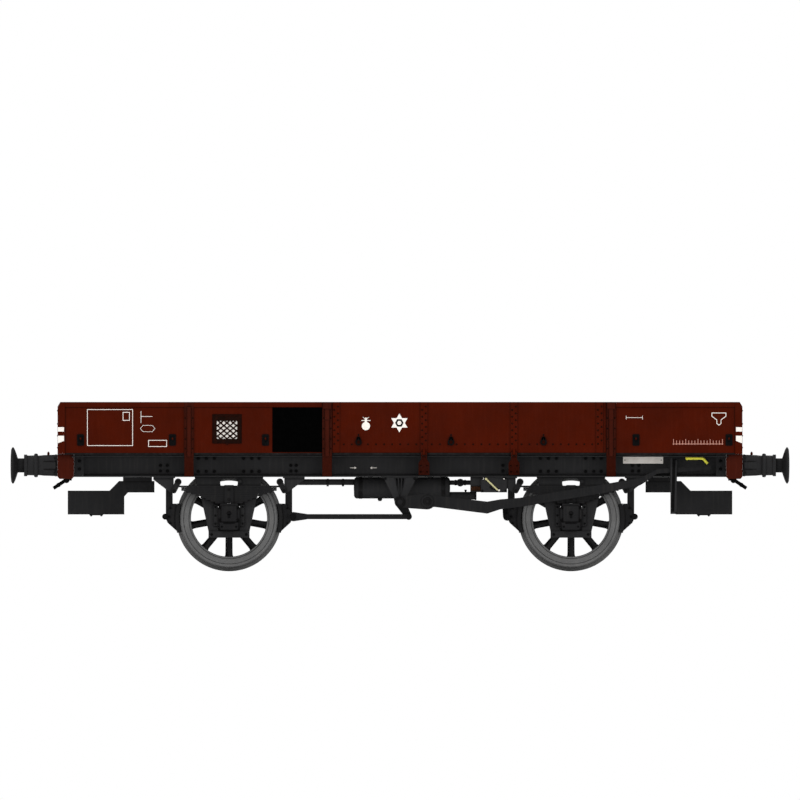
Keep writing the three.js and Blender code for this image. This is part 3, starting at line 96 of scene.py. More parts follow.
class Surface:
    """A material under construction, with short calls for the nodes it uses."""

    def __init__(self, name, roughness, specular):
        self.material = bpy.data.materials.new(name)
        self.material.use_nodes = True
        self.tree = self.material.node_tree
        self.shader = self.tree.nodes["Principled BSDF"]
        self.shader.inputs["Specular IOR Level"].default_value = specular
        self.shader.inputs["Roughness"].default_value = roughness
        self.place = self.node("ShaderNodeTexCoord").outputs["Object"]

    def feed(self, socket, value):
        """Links another node's output to an input, or sets the input's own value."""
        if isinstance(value, bpy.types.NodeSocket):
            self.tree.links.new(value, socket)
        else:
            socket.default_value = value

    def node(self, kind, **settings):
        """A new node. Each setting is one of its inputs or else a property."""
        node = self.tree.nodes.new(kind)
        for key, value in settings.items():
            if key in node.inputs:
                self.feed(node.inputs[key], value)
            else:
                setattr(node, key, value)
        return node

    def stretched(self, x, y, z):
        """Object coordinates with each axis scaled."""
        return self.node("ShaderNodeMapping", Vector=self.place, Scale=(x, y, z)).outputs["Vector"]

    def noise(self, scale, detail, vector=None, distortion=0.0):
        return self.node("ShaderNodeTexNoise", Vector=vector or self.place, Scale=scale,
                         Detail=detail, Distortion=distortion).outputs["Fac"]

    def ramp(self, value, low_end, high_end, to_low=0.0, to_high=1.0):
        """Maps a value from low_end..high_end to to_low..to_high, clamped."""
        node = self.node("ShaderNodeMapRange", Value=value)
        for socket, number in zip(node.inputs[1:5], (low_end, high_end, to_low, to_high)):
            socket.default_value = number
        return node.outputs["Result"]

    def times(self, first, second):
        node = self.node("ShaderNodeMath", operation="MULTIPLY")
        self.feed(node.inputs[0], first)
        self.feed(node.inputs[1], second)
        return node.outputs["Value"]

    def mix(self, factor, first, second):
        """A blend of two colours, each from a node or an sRGB one in parts of 255."""
        node = self.node("ShaderNodeMix", data_type="RGBA", Factor=factor)
        for socket, color in zip(node.inputs[6:8], (first, second)):
            self.feed(socket, linear(color) if isinstance(color, tuple) else color)
        return node.outputs[2]

    def crevice_shade(self, distance):
        """1 deep in a corner, 0 on an open face: the mask of painted shade, from ambient
        occlusion.
        """
        node = self.node("ShaderNodeAmbientOcclusion", samples=6, Distance=distance)
        return self.ramp(node.outputs["AO"], 0.40, 0.92, 1.0, 0.0)

    def rim(self, distance):
        """1 along an outside edge, 0 on an open face."""
        node = self.node("ShaderNodeAmbientOcclusion", samples=4, inside=True, Distance=distance)
        return self.ramp(node.outputs["AO"], 0.45, 0.80, 1.0, 0.0)

    def finish(self, color, bump, depth, roughness=None):
        self.feed(self.shader.inputs["Base Color"], color)
        if roughness is not None:
            self.feed(self.shader.inputs["Roughness"], roughness)
        node = self.node("ShaderNodeBump", Strength=0.5, Distance=depth, Height=bump)
        self.feed(self.shader.inputs["Normal"], node.outputs["Normal"])
        return self.material


def painted(name, color, worn, grime_and_shade, roughness=0.6, specular=0.03, shade_reach=0.03):
    """Old paint: patchy colour, streaks down the panels, painted shade darkening its corners, and
    chipped edges.
    """
    look = Surface(name, roughness, specular)
    patches = look.ramp(look.noise(2.3, 5.0), 0.35, 0.7)
    streaks = look.noise(3.0, 6.0, look.stretched(14, 14, 0.9))
    faded = look.mix(look.ramp(streaks, 0.5, 0.8, 0.0, 0.6), color, worn)
    shade = look.mix(look.times(patches, 0.3), faded, grime_and_shade)
    # Painted shade: corners and crevices darkened towards the dark colour, as far as the given
    # reach.
    corners = look.mix(look.times(look.crevice_shade(shade_reach), 0.85), shade, grime_and_shade)
    chips = look.times(look.rim(0.007), look.ramp(look.noise(24.0, 5.0), 0.30, 0.55, 0.35, 0.85))
    chipped = look.mix(chips, corners, grime_and_shade)
    gloss = look.ramp(look.noise(11.0, 4.0), 0.3, 0.7, roughness - 0.08, roughness + 0.12)
    return look.finish(chipped, look.noise(90.0, 3.0), 0.0006, gloss)


def planks(name):
    """Worn boards across the wagon: grain along y, each plank its own tone, and painted shade in
    the corners.
    """
    look = Surface(name, 0.85, 0.1)
    grain = look.noise(6.0, 8.0, look.stretched(34, 1.6, 8), 0.6)
    knots = look.ramp(look.noise(5.0, 2.0, look.stretched(1.2, 0.8, 1)), 0.66, 0.74)
    boards = look.noise(1.0, 0.0, look.stretched(4.7, 0.01, 0.01))
    tone = look.mix(look.ramp(boards, 0.35, 0.65), (96, 80, 62), (124, 106, 84))
    lined = look.mix(look.ramp(grain, 0.35, 0.7, 0.0, 0.7), tone, (62, 49, 37))
    spotted = look.mix(look.times(knots, 0.6), lined, (44, 33, 25))
    stains = look.ramp(look.noise(1.6, 4.0), 0.45, 0.7, 0.0, 0.45)
    worn = look.mix(stains, spotted, (140, 128, 110))
    # Painted shade: corners and gaps darkened towards a dark brown.
    crevice_shaded = look.mix(look.times(look.crevice_shade(0.03), 0.8), worn, (30, 24, 19))
    return look.finish(crevice_shaded, grain, 0.002)


def bright(name, color, aged):
    """Plain enamel or paint for marks and plates, only a little aged."""
    look = Surface(name, 0.5, 0.2)
    tone = look.mix(look.ramp(look.noise(14.0, 4.0), 0.45, 0.8, 0.0, 0.5), color, aged)
    return look.finish(tone, look.noise(160.0, 2.0), 0.0003)


# Each paint gives its colour, a worn colour, and a dark colour for grime patches and for the
# painted shade in its corners.
materials = {
    "side": painted("side_paint", (66, 13, 0), (75, 19, 3), (30, 6, 1)),
    "post": painted("post_paint", (58, 17, 7), (76, 27, 14), (22, 6, 3)),
    "frame": painted("frame_paint", (45, 45, 46), (57, 56, 55), (18, 17, 17)),
    "iron": painted("iron_paint", (33, 33, 34), (48, 46, 44), (12, 11, 11)),
    "wheel": painted("wheel_steel", (94, 94, 94), (108, 106, 103), (20, 19, 18), 0.45, 0.3, 0.012),
    "wood": planks("deck_wood"),
    "board": painted("notice_board", (3, 3, 3), (7, 6, 6), (1, 1, 1), specular=0.005),
    "white": bright("white_enamel", (240, 235, 228), (208, 198, 188)),
    "rose": bright("rose_enamel", (196, 140, 124), (150, 100, 86)),
    "yellow": bright("yellow_enamel", (250, 246, 84), (226, 214, 74)),
    "cream": bright("cream_enamel", (206, 200, 150), (160, 150, 110)),
    "rust": painted("rusty_spring", (84, 50, 30), (110, 72, 46), (40, 24, 16)),
    "bolt": painted("bolt_heads", (17, 17, 18), (34, 32, 31), (6, 6, 6)),
    "rivet": painted("rivet_heads", (36, 9, 3), (50, 17, 8), (16, 5, 2)),
}

slots = {
    "side_paint": "side", "post_paint": "post", "frame_paint": "frame",
    "iron_paint": "iron", "wheel_steel": "wheel", "deck_wood": "wood",
}
usual_slot = {material: slot for slot, material in slots.items()} | {"bolt": "iron_paint"}
for row in frame["record"]["subparts"]:
    node = frame["nodes"][row["node"]]
    node.data.materials.clear()
    node.data.materials.append(materials[slots[row["material_slot"]]])


# ---- building fine pieces

ALONG, ACROSS, UP, DOWN, NEAR = (1, 0, 0), (0, 1, 0), (0, 0, 1), (0, 0, -1), (0, -1, 0)
NO_TURN = Matrix.Identity(4)
HALF_TURN = Matrix.Rotation(math.pi, 4, "Z")
# Name, sign of its y or x, and the turn that brings a form there.
SIDES = (("near", -1, NO_TURN), ("far", 1, HALF_TURN))
ENDS = (("left", -1, HALF_TURN), ("right", 1, NO_TURN))


def shift(x, y, z):
    return Matrix.Translation((x, y, z))


def circle(x, z, radius, count=32):
    """Points round a circle in x and z, for a plate or band."""
    angles = (2 * math.pi * step / count for step in range(count))
    return [(x + radius * math.cos(a), z + radius * math.sin(a)) for a in angles]


def ring(middle, radius, across, up, count):
    """Points round a circle in the plane of two vectors."""
    angles = (2 * math.pi * step / count for step in range(count))
    return [middle + radius * (math.cos(a) * across + math.sin(a) * up) for a in angles]


class Form:
    """Points and faces of one piece, gathered by functions that add closed shapes."""

    def __init__(self, *builders):
        self.points = []
        self.faces = []
        for build in builders:
            build(self)

    def add(self, points, faces):
        first = len(self.points)
        self.points += [Vector(point) for point in points]
        self.faces += [[first + index for index in face] for face in faces]
        return self

    def box(self, corner, opposite):
        return self.add(product(*zip(corner, opposite)),
                        [(0, 1, 3, 2), (4, 6, 7, 5), (0, 4, 5, 1), (2, 3, 7, 6), (0, 2, 6, 4),
                         (1, 5, 7, 3)])

    def plate(self, outline, front, back):
        """An outline in x and z, given thickness along y."""
        count = len(outline)
        points = [(x, y, z) for y in (front, back) for x, z in outline]
        sides = [(i, (i + 1) % count, count + (i + 1) % count, count + i) for i in range(count)]
        return self.add(points, [list(range(count)), list(range(2 * count - 1, count - 1, -1)),
                                 *sides])

    def ringed(self, rings, closed=False):
        """A skin over rings of points, with caps unless it closes on itself."""
        count = len(rings[0])
        faces = []
        for row in range(len(rings) if closed else len(rings) - 1):
            here, there = row * count, (row + 1) % len(rings) * count
            faces += [(here + i, here + (i + 1) % count, there + (i + 1) % count, there + i)
                      for i in range(count)]
        if not closed:
            last = (len(rings) - 1) * count
            faces += [list(range(count - 1, -1, -1)), list(range(last, last + count))]
        return self.add(chain(*rings), faces)

    def turned(self, profile, origin, axis, sides=48, closed=False):
        """A profile of (radius, distance along the axis) turned round the axis."""
        axis = Vector(axis).normalized()
        across = axis.orthogonal().normalized()
        up = axis.cross(across)
        return self.ringed([ring(Vector(origin) + axis * along, radius, across, up, sides)
                            for radius, along in profile], closed)

    def collar(self, inner, outer, half, ease, origin, axis, sides):
        """A band with eased edges round the axis, with the origin at its middle."""
        return self.turned([(inner, -half), (outer, ease - half), (outer, half - ease),
                            (inner, half)], origin, axis, sides)

    def rod(self, start, end, radius, sides=12):
        span = Vector(end) - Vector(start)
        return self.turned([(radius, 0), (radius, span.length)], start, span, sides)

    def tube(self, path, radius, sides):
        """A round bar along a path of points."""
        path = [Vector(point) for point in path]
        side = None
        rings = []
        for i, point in enumerate(path):
            ahead = (path[min(i + 1, len(path) - 1)] - path[max(i - 1, 0)]).normalized()
            side = side or ahead.orthogonal()
            side = (side - side.dot(ahead) * ahead).normalized()
            rings.append(ring(point, radius, side, ahead.cross(side), sides))
        return self.ringed(rings)

    def band(self, points, width, front, back, closed=False):
        """A flat strip along points in x and z, with mitred corners."""
        count = len(points)
        rings = []
        for i, (x, z) in enumerate(points):
            here = Vector((x, z))
            steps = []
            if i or closed:
                steps.append((here - Vector(points[i - 1])).normalized())
            if i + 1 < count or closed:
                steps.append((Vector(points[(i + 1) % count]) - here).normalized())
            ahead = sum(steps, Vector((0, 0))).normalized()
            normal = Vector((-ahead.y, ahead.x))
            reach = width / 2 / max(0.4, normal.dot(Vector((-steps[0].y, steps[0].x))))
            left, right = here + normal * reach, here - normal * reach
            rings.append([(left.x, front, left.y), (right.x, front, right.y),
                          (right.x, back, right.y), (left.x, back, left.y)])
        return self.ringed(rings, closed)

    def dome(self, place, radius, height, outward=NEAR, sides=8):
        """A rivet or bolt head."""
        return self.turned([(radius, -height / 2), (radius, height * 0.3),
                            (radius * 0.72, height * 0.8), (radius * 0.25, height)],
                           place, outward, sides)

    def nut(self, place, radius, height, outward=NEAR):
        """A nut with the end of its bolt."""
        self.turned([(radius, -height / 2), (radius, height * 0.8), (radius * 0.88, height)],
                    place, outward, 6)
        return self.turned([(radius * 0.5, height * 0.9), (radius * 0.5, height * 1.5)],
                           place, outward, 10)

    def moved(self, matrix):
        """A copy in another place."""
        return Form().add([matrix @ point for point in self.points], self.faces)

    def merge(self, other):
        return self.add(other.points, other.faces)

    def doubled(self):
        """Adds the same form after a half turn."""
        return self.merge(self.moved(HALF_TURN))

    def piece(self, name, material, body="wagon_body", replaces=None, smooth=True, slot=None):
        """An object of the form in the material. Its slot, the usual one unless another is named,
        is worked out but not set.
        """
        mesh = bpy.data.meshes.new(name)
        mesh.from_pydata([tuple(point) for point in self.points], [], self.faces)
        mesh.validate()
        mesh.materials.append(materials[material])
        thing = bpy.data.objects.new(name, mesh)
        bpy.context.collection.objects.link(thing)
        bpy.context.view_layer.objects.active = thing
        thing.select_set(True)
        bpy.ops.object.mode_set(mode="EDIT")
        bpy.ops.mesh.select_all(action="SELECT")
        bpy.ops.mesh.normals_make_consistent(inside=False)
        bpy.ops.object.mode_set(mode="OBJECT")
        if smooth:
            bpy.ops.object.shade_smooth_by_angle(angle=math.radians(35))
        thing.select_set(False)
        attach(thing, body)
        if replaces:
            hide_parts(replaces)
        slot = usual_slot.get(material) if slot is None else slot


# ---- wheels and axles

TREAD, FLANGE, TYRE_WIDTH, BORE = 0.541, 0.036, 0.135, 0.417
SPOKES, SPOKE_PHASE = 9, -2


def tyre(form):
    """Tyre and rim about the wheel's centre, with its outer face towards -y."""
    crown = TREAD + FLANGE
    profile = [
        (BORE, 0.018), (BORE + 0.006, 0.012), (BORE + 0.020, 0.012),
        (0.4365, 0.012), (0.4375, 0.018), (0.4410, 0.018), (0.4420, 0.004),
        (0.4945, 0.004), (0.4955, 0.011), (0.4990, 0.011), (0.5000, 0.002),
        (0.5265, 0.0), (0.5275, 0.006), (0.5300, 0.006), (TREAD - 0.006, 0.012),
        (TREAD - 0.001, TYRE_WIDTH - 0.045), (TREAD + 0.004, TYRE_WIDTH - 0.038),
        (TREAD + FLANGE * 0.75, TYRE_WIDTH - 0.030), (crown, TYRE_WIDTH - 0.021),
        (crown, TYRE_WIDTH - 0.015), (TREAD + FLANGE * 0.7, TYRE_WIDTH - 0.005),
        (TREAD + FLANGE * 0.2, TYRE_WIDTH), (BORE + 0.006, TYRE_WIDTH),
        (BORE, TYRE_WIDTH - 0.006),
    ]
    form.turned(profile, (0, -WHEEL_FACE, 0), ACROSS, 96, True)


def wheel_centre(form):
    """Hub and oval spokes about the wheel's centre."""
    hub = [
        (0.084, -0.006), (0.090, -0.012), (0.120, -0.012), (0.128, -0.006), (0.136, 0.010),
        (0.150, 0.034), (0.150, TYRE_WIDTH - 0.006), (0.144, TYRE_WIDTH + 0.010),
        (0.084, TYRE_WIDTH + 0.010),
    ]
    form.turned(hub, (0, -WHEEL_FACE, 0), ACROSS, 48, True)
    start, end, plane = 0.122, BORE + 0.013, Vector((0, TYRE_WIDTH / 2 - WHEEL_FACE, 0))
    for index in range(SPOKES):
        angle = math.radians(SPOKE_PHASE + index * 360 / SPOKES)
        out = -Vector((math.sin(angle), 0, math.cos(angle)))
        rings = []
        for step in range(11):
            t = step / 10
            flare = 0.010 * (max(0, 0.18 - t) / 0.18) ** 2 + 0.013 * (max(0, t - 0.85) / 0.15) ** 2
            rings.append(ring(out * (start + (end - start) * t) + plane, 0.034 - 0.009 * t + flare,
                              Vector((out.z, 0, -out.x)), Vector((0, 1.35, 0)), 16))
        form.ringed(rings)


def axle(form):
    """Axle with its journals, about its centre."""
    end = high("axle_right").y
    inner, outer = 0.660, WHEEL_FACE + 0.035
    half = [(0.052, end), (0.055, end - 0.004), (0.055, outer + 0.030), (0.064, outer + 0.022),
            (0.070, outer + 0.012), (0.084, outer), (0.084, inner), (0.080, inner - 0.012),
            (0.076, inner - 0.040), (0.074, 0.30)]
    profile = half + [(r, -y) for r, y in reversed(half)]
    form.turned(profile, (0, 0, 0), ACROSS, 48)


for end, way, _ in ENDS:
    middle, body = shift(way * AXLE_X, 0, AXLE_HEIGHT), f"wheelset_{end}"
    Form(axle).moved(middle).piece(f"axle_bar_{end}", "iron", body, f"axle_{end}")
    for side, _, turn in SIDES:
        wheel = f"wheel_{end}_{side}"
        where = middle @ turn
        Form(tyre).moved(where).piece(f"tyre_{end}_{side}", "wheel", body, wheel)
        Form(wheel_centre).moved(where).piece(f"spokes_{end}_{side}", "iron", body, wheel)


# ---- buffers

BUFFER_HEIGHT = FRAME_BOTTOM + 0.127
BUFFER_Y = 0.875


def buffer_housing(form):
    """Buffer casing with ribs and a bolted foot, from the headstock outwards along +x."""
    profile = [
        (0.0795, 0.011), (0.122, 0.011), (0.122, 0.022), (0.117, 0.030), (0.113, 0.155),
        (0.110, 0.175), (0.108, 0.205), (0.108, 0.213), (0.124, 0.217), (0.130, 0.226),
        (0.130, 0.246), (0.124, 0.255), (0.110, 0.259), (0.108, 0.328), (0.110, 0.331),
        (0.117, 0.333), (0.119, 0.338), (0.119, 0.362), (0.115, 0.368), (0.0795, 0.368),
    ]
    form.turned(profile, (0, 0, 0), ALONG, 56, True)
    form.box((0.0003, -0.118, -0.118), (0.0223, 0.118, 0.118))
    rib = [(0.012, 0.100), (0.160, 0.100), (0.150, 0.113), (0.040, 0.120), (0.012, 0.127)]
    for index in range(8):
        angle = math.radians(22.5 + 45 * index)
        out = Vector((0, math.cos(angle), math.sin(angle)))
        across = Vector((0, -out.z, out.y)) * 0.006
        form.ringed([[Vector((x, 0, 0)) + out * r + across * way for x, r in rib]
                     for way in (-1, 1)])
    for y, z in product((-0.092, 0.092), repeat=2):
        form.nut((0.0223, y, z), 0.017, 0.012, ALONG)


def buffer_plunger(form):
    """Plunger and dished head, along +x from the headstock."""
    profile = [
        (0.078, 0.280), (0.078, 0.432), (0.086, 0.438), (0.120, 0.448), (0.170, 0.466),
        (0.196, 0.480), (0.200, 0.486), (0.200, 0.492), (0.196, 0.498), (0.172, 0.509),
        (0.120, 0.513), (0.060, 0.5155), (0.002, 0.516),
    ]
    form.turned(profile, (0, 0, 0), ALONG, 64)


for (end, way, facing), (side, across, _) in product(ENDS, SIDES):
    where = shift(way * END_X, across * BUFFER_Y, BUFFER_HEIGHT) @ facing
    Form(buffer_housing).moved(where).piece(
        f"buffer_casing_{end}_{side}", "frame", replaces=f"buffer_housing_{end}_{side}")
    Form(buffer_plunger).moved(where).piece(
        f"buffer_head_{end}_{side}", "iron", replaces=f"buffer_plunger_{end}_{side}")


# ---- leaf springs

SPRING_TOP = FRAME_BOTTOM - 0.094
BOX_TOP = AXLE_HEIGHT + 0.166


def leaf_spring(form):
    """Ten leaves, their buckle and the shackles, about the axle with its middle at y = 0."""
    half, count, full = 0.045, 10, 3
    thick = (SPRING_TOP - BOX_TOP - 0.0003) / count
    eye_x, eye_z = 0.558, SPRING_TOP + 0.040
    pin_x, pin_z = eye_x + 0.045, eye_z - 0.098
    for leaf in range(count):
        reach = 0.556 if leaf == 0 else 0.526 - 0.053 * max(0, leaf + 1 - full)
        top, bottom = SPRING_TOP - leaf * thick - 0.0002, SPRING_TOP - (leaf + 1) * thick + 0.0002
        form.plate([(-reach + 0.003, top), (reach - 0.003, top), (reach, (top + bottom) / 2),
                    (reach - 0.008, bottom), (-reach + 0.008, bottom),
                    (-reach, (top + bottom) / 2)],
                   -half + 0.0004 * leaf, half - 0.0004 * leaf)
    form.box((-0.052, -half - 0.006, BOX_TOP + 0.0003),
             (0.052, half + 0.004, SPRING_TOP + 0.006))
    for z in (BOX_TOP + 0.045, SPRING_TOP - 0.045):
        form.nut((0, -half - 0.006, z), 0.015, 0.008)
    for way in (-1, 1):
        form.turned([(0.020, -half), (0.038, -half), (0.038, half),
                     (0.020, half)], (way * eye_x, 0, eye_z), ACROSS, 28, True)
        lean = math.atan2(pin_z - eye_z, way * (pin_x - eye_x))
        link = []
        for x, z, turn, radius in ((eye_x, eye_z, lean + math.pi, 0.034),
                                   (pin_x, pin_z, lean, 0.028)):
            for step in range(13):
                angle = turn - math.pi / 2 + math.pi * step / 12
                link.append((way * x + radius * math.cos(angle), z + radius * math.sin(angle)))
        for y, depth in ((-half - 0.0093, 0.009), (half + 0.0003, 0.005)):
            form.plate(link, y, y + depth)
        form.nut((way * eye_x, -half - 0.009, eye_z), 0.024, 0.0035)
        form.nut((way * pin_x, -half - 0.009, pin_z), 0.017, 0.0035)
        form.rod((way * eye_x, -half - 0.010, eye_z),
                 (way * eye_x, half + 0.005, eye_z), 0.014, 16)


for (end, way, _), (side, across, turn) in product(ENDS, SIDES):
    where = shift(way * AXLE_X, across * SPRING_PLANE, 0) @ turn
    Form(leaf_spring).moved(where).piece(
        f"spring_{end}_{side}", "iron", replaces=f"leaf_spring_{end}_{side}")


# ---- reservoir and its pipes


def reservoir(form):
    """Tank with two bands and a drain, its pipes with a valve, and their clips."""
    y, bottom = centre("air_reservoir").y, FRAME_BOTTOM
    left, right, radius = -0.507, 0.550, 0.118
    height = bottom - 0.0003 - radius
    main, valve, lower = bottom - 0.056, bottom - 0.062, bottom - 0.206
    seat, valve_x = bottom + 0.0397, 0.661

    def pipe(start, end, z, size, sides):
        form.rod((start, y, z), (end, y, z), size, sides)

    form.turned([(0.001, left), (0.090, left + 0.003), (0.108, left + 0.012),
                 (radius, left + 0.030), (radius, right - 0.030), (0.108, right - 0.012),
                 (0.090, right - 0.003), (0.001, right)], (0, y, height), ALONG, 56)
    for x in (left + 0.075, right - 0.075):
        form.collar(radius - 0.002, radius + 0.003, 0.020, 0.002, (x, y, height), ALONG, 56)
    form.rod((-0.220, y, height - radius - 0.028), (-0.220, y, height), 0.018, 16)
    form.nut((-0.220, y, height - radius - 0.004), 0.026, 0.012, DOWN)
    for x in (-0.330, 0.330):
        form.box((x - 0.025, y - 0.060, height + radius - 0.020), (x + 0.025, y + 0.060, seat))
    pipe(-AXLE_X + 0.685, left + 0.010, main, 0.033, 28)
    for x in (-0.793, -0.625):
        form.collar(0.031, 0.037, 0.013, 0.002, (x, y, main), ALONG, 28)
        form.box((x - 0.012, y - 0.012, main - 0.047), (x + 0.012, y + 0.012, main))
    for x, z in ((-AXLE_X + 0.700, main), (AXLE_X - 0.724, valve)):
        form.box((x - 0.012, y - 0.012, z), (x + 0.012, y + 0.012, seat))
    pipe(right - 0.010, AXLE_X - 0.725, valve, 0.026, 20)
    form.collar(0.034, 0.043, 0.032, 0.006, (valve_x, y, valve), ACROSS, 28)
    for way in (-1, 1):
        form.collar(0.026, 0.031, 0.013, 0.004, (valve_x + way * 0.051, y, valve), (way, 0, 0), 20)
    form.nut((valve_x, y - 0.032, valve), 0.018, 0.010)
    pipe(right - 0.010, 0.839, lower, 0.043, 28)
    form.collar(0.041, 0.047, 0.011, 0.004, (0.828, y, lower), ALONG, 28)
    form.rod((0.719, y, lower), (0.719, y, lower + 0.064), 0.010, 12)
    pipe(0.706, 0.732, lower + 0.060, 0.007, 10)


Form(reservoir).piece("reservoir", "frame", replaces="air_reservoir")


# ---- bolts and rivets

WEB_FACE = SOLEBAR_WEB + 0.014
JOINT_FACE = SOLEBAR_EDGE + 0.008
AXLE_BOLTS = (-0.336, -0.248, -0.160, 0.160, 0.249, 0.330)
FRAME_BOLTS = (-2.626, -2.550, -1.196, -1.138, 1.129, 2.549, 2.618)
DOOR_STRAPS = (-0.700, 0.263, 1.250, 2.190)
DOOR_HINGES = (0.263, 1.250)
POSTS = (-2.314, -0.799, 2.315)
STRAP_FACE = SIDE_FACE + 0.008
GUARD_FACE = SOLEBAR_WEB - 0.0003
HANGER_FACE = 0.780  # outer face of a brake hanger
PLANK = 0.220  # about the width of one
RIVET = (0.0095, 0.007)  # radius and height of a common one


def frame_bolts(form):
    """Bolts of the near solebar and the axle guards, and plates in the guards' corners."""
    for way in (-1, 1):
        middle = way * AXLE_X
        for x, z in product(AXLE_BOLTS, (0.203, 0.062)):
            form.nut((middle + x, -WEB_FACE, FRAME_BOTTOM + z), 0.017, 0.014)
        for z in (0.175, 0.087):
            form.nut((way * 3.513, -JOINT_FACE, FRAME_BOTTOM + z), 0.017, 0.013)
        for x, z in product((-0.150, 0.150), (-0.055, 0.035, 0.128)):
            form.dome((middle + x, -GUARD_FACE - 0.018, AXLE_HEIGHT + z), 0.011, 0.008,
                      sides=10)
        for x in (-0.190, 0.190):
            form.nut((middle + x, -GUARD_FACE - 0.012, AXLE_HEIGHT - 0.173), 0.014, 0.010)
        for x in (-0.130, 0.130):
            form.box((middle + x - 0.042, -GUARD_FACE + 0.002, BOX_TOP - 0.032),
                     (middle + x + 0.042, -GUARD_FACE + 0.016, BOX_TOP + 0.070))
    for x, z in product(FRAME_BOLTS, (0.127, 0.066)):
        form.nut((x, -WEB_FACE, FRAME_BOTTOM + z), 0.017, 0.014)
    for x in (-0.160, 0.160):
        form.nut((x, -SOLEBAR_EDGE + 0.008, FRAME_BOTTOM - 0.020), 0.013, 0.008)


def box_bolts(form):
    """Nuts on the lugs of an axle box, and its key, about the axle."""
    front = -SPRING_PLANE - 0.095
    for x, z in product((-0.100, 0.100), (-0.017, 0.123)):
        form.nut((x, front - 0.016, z), 0.013, 0.010)
    form.turned([(0.024, -0.004), (0.024, 0.004), (0.019, 0.008)], (0, front - 0.014, 0.058),
                NEAR, 20)
    form.plate([(-0.008, 0.050), (0.008, 0.050), (0.011, 0.010), (-0.011, 0.010)],
               front - 0.022, front - 0.012)
    for x in (-0.078, 0.078):
        form.nut((x, front - 0.022, -0.088), 0.010, 0.007)
    form.rod((-0.060, front - 0.024, -0.050), (0.060, front - 0.024, -0.050), 0.006, 10)


def door_rivets(form):
    """Rivets along the straps and the lower edge of the near door."""
    bottom, rows = PANEL_BOTTOM + 0.100, 12
    rise = (SIDE_TOP - 0.050 - bottom) / (rows - 1)
    for strap, row in product(DOOR_STRAPS, range(rows)):
        x = strap + (0.020 if row % 2 else -0.020)
        form.dome((x, -STRAP_FACE, bottom + rise * row), *RIVET)
    for start, end in zip(DOOR_STRAPS, DOOR_STRAPS[1:]):
        span = end - start - 0.080
        count = round(span / 0.087)
        for index in range(count):
            x = start + 0.040 + span * (index + 0.5) / count
            form.dome((x, -SIDE_FACE, PANEL_BOTTOM + 0.095), *RIVET)


def post_bolts(form):
    for post, x, z in product(POSTS, (-0.040, 0.040), (1.345, 1.450, 1.565, 1.680)):
        form.dome((post + x, -POST_FACE, z), 0.0075, 0.005)


def hinge_bolts(form):
    """Rivets on the sloping brackets of the near door's hinges."""
    slope = math.atan2(POST_FACE - SOLEBAR_EDGE, FRAME_TOP - 0.024 - FRAME_BOTTOM)
    outward = (0, -math.cos(slope), -math.sin(slope))
    for hinge, x, rise in product(DOOR_HINGES, (-0.034, 0.034), (0.052, 0.120)):
        y = SOLEBAR_EDGE + rise * math.tan(slope) + 0.004
        form.dome((hinge + x, -y, FRAME_BOTTOM + rise), *RIVET, outward)


def floor_screws(form):
    end, top = high("floor_planks").x, high("floor_planks").z
    count = round(2 * end / PLANK)
    pitch = 2 * end / count
    rows = (-1.18, -0.95, -0.26, 0.26, 0.95, 1.18)
    for plank, x, y in product(range(count), (-0.055, 0.055), rows):
        form.turned([(0.009, -0.002), (0.009, 0.0006), (0.006, 0.0010)],
                    (-end + (plank + 0.5) * pitch + x, y, top), UP, 8)


def brake_nuts(form):
    """Pins and nuts of the brake hangers and blocks at both sides of an axle's wheel."""
    for way in (-1, 1):
        for x, z, size in ((0.655, FRAME_BOTTOM - 0.034, 0.017),
                           (0.655, AXLE_HEIGHT + 0.022, 0.012),
                           (0.640, AXLE_HEIGHT + 0.115, 0.010),
                           (0.640, AXLE_HEIGHT - 0.050, 0.010)):
            form.nut((way * x, -HANGER_FACE, z), size, 0.010)
        form.turned([(0.033, 0), (0.033, 0.008), (0.028, 0.012)],
                    (way * 0.700, -WHEEL_FACE - 0.097, AXLE_HEIGHT + 0.022), NEAR, 20)


def joint_strips(form):
    """Flat bars inside the near wall, over the joints beside its posts."""
    joints = [(post, 0.075) for post in POSTS] + [(-3.665, 0.025), (3.665, 0.025)]
    for x, half in joints:
        form.box((x - half, -SIDE_INNER + 0.0015, FRAME_TOP + 0.042),
                 (x + half, -SIDE_INNER + 0.0075, SIDE_TOP - 0.004))


def pipe_cock(form):
    """Brake pipe's end: its cock under the headstock and its open elbow, along +x."""
    elbow, mouth = Vector((-0.105, 0, -0.024)), Vector((0.0439, 0, -0.1243))
    reach = (mouth - elbow).length
    form.turned([(0.012, 0), (0.020, 0.006), (0.020, reach - 0.078), (0.024, reach - 0.074),
                 (0.024, reach - 0.058), (0.0195, reach - 0.054), (0.0195, reach - 0.006),
                 (0.017, reach), (0.012, reach), (0.012, reach - 0.005), (0.002, reach - 0.005)],
                elbow, mouth - elbow, 20)
    form.box((-0.156, -0.031, -0.0395), (-0.069, 0.031, -0.0215))
    form.turned([(0.002, -0.040), (0.024, -0.036), (0.034, -0.016), (0.034, 0.016),
                 (0.024, 0.036), (0.002, 0.040)], (-0.098, 0, -0.034), ACROSS, 24)
    form.nut((-0.098, -0.038, -0.034), 0.014, 0.012)


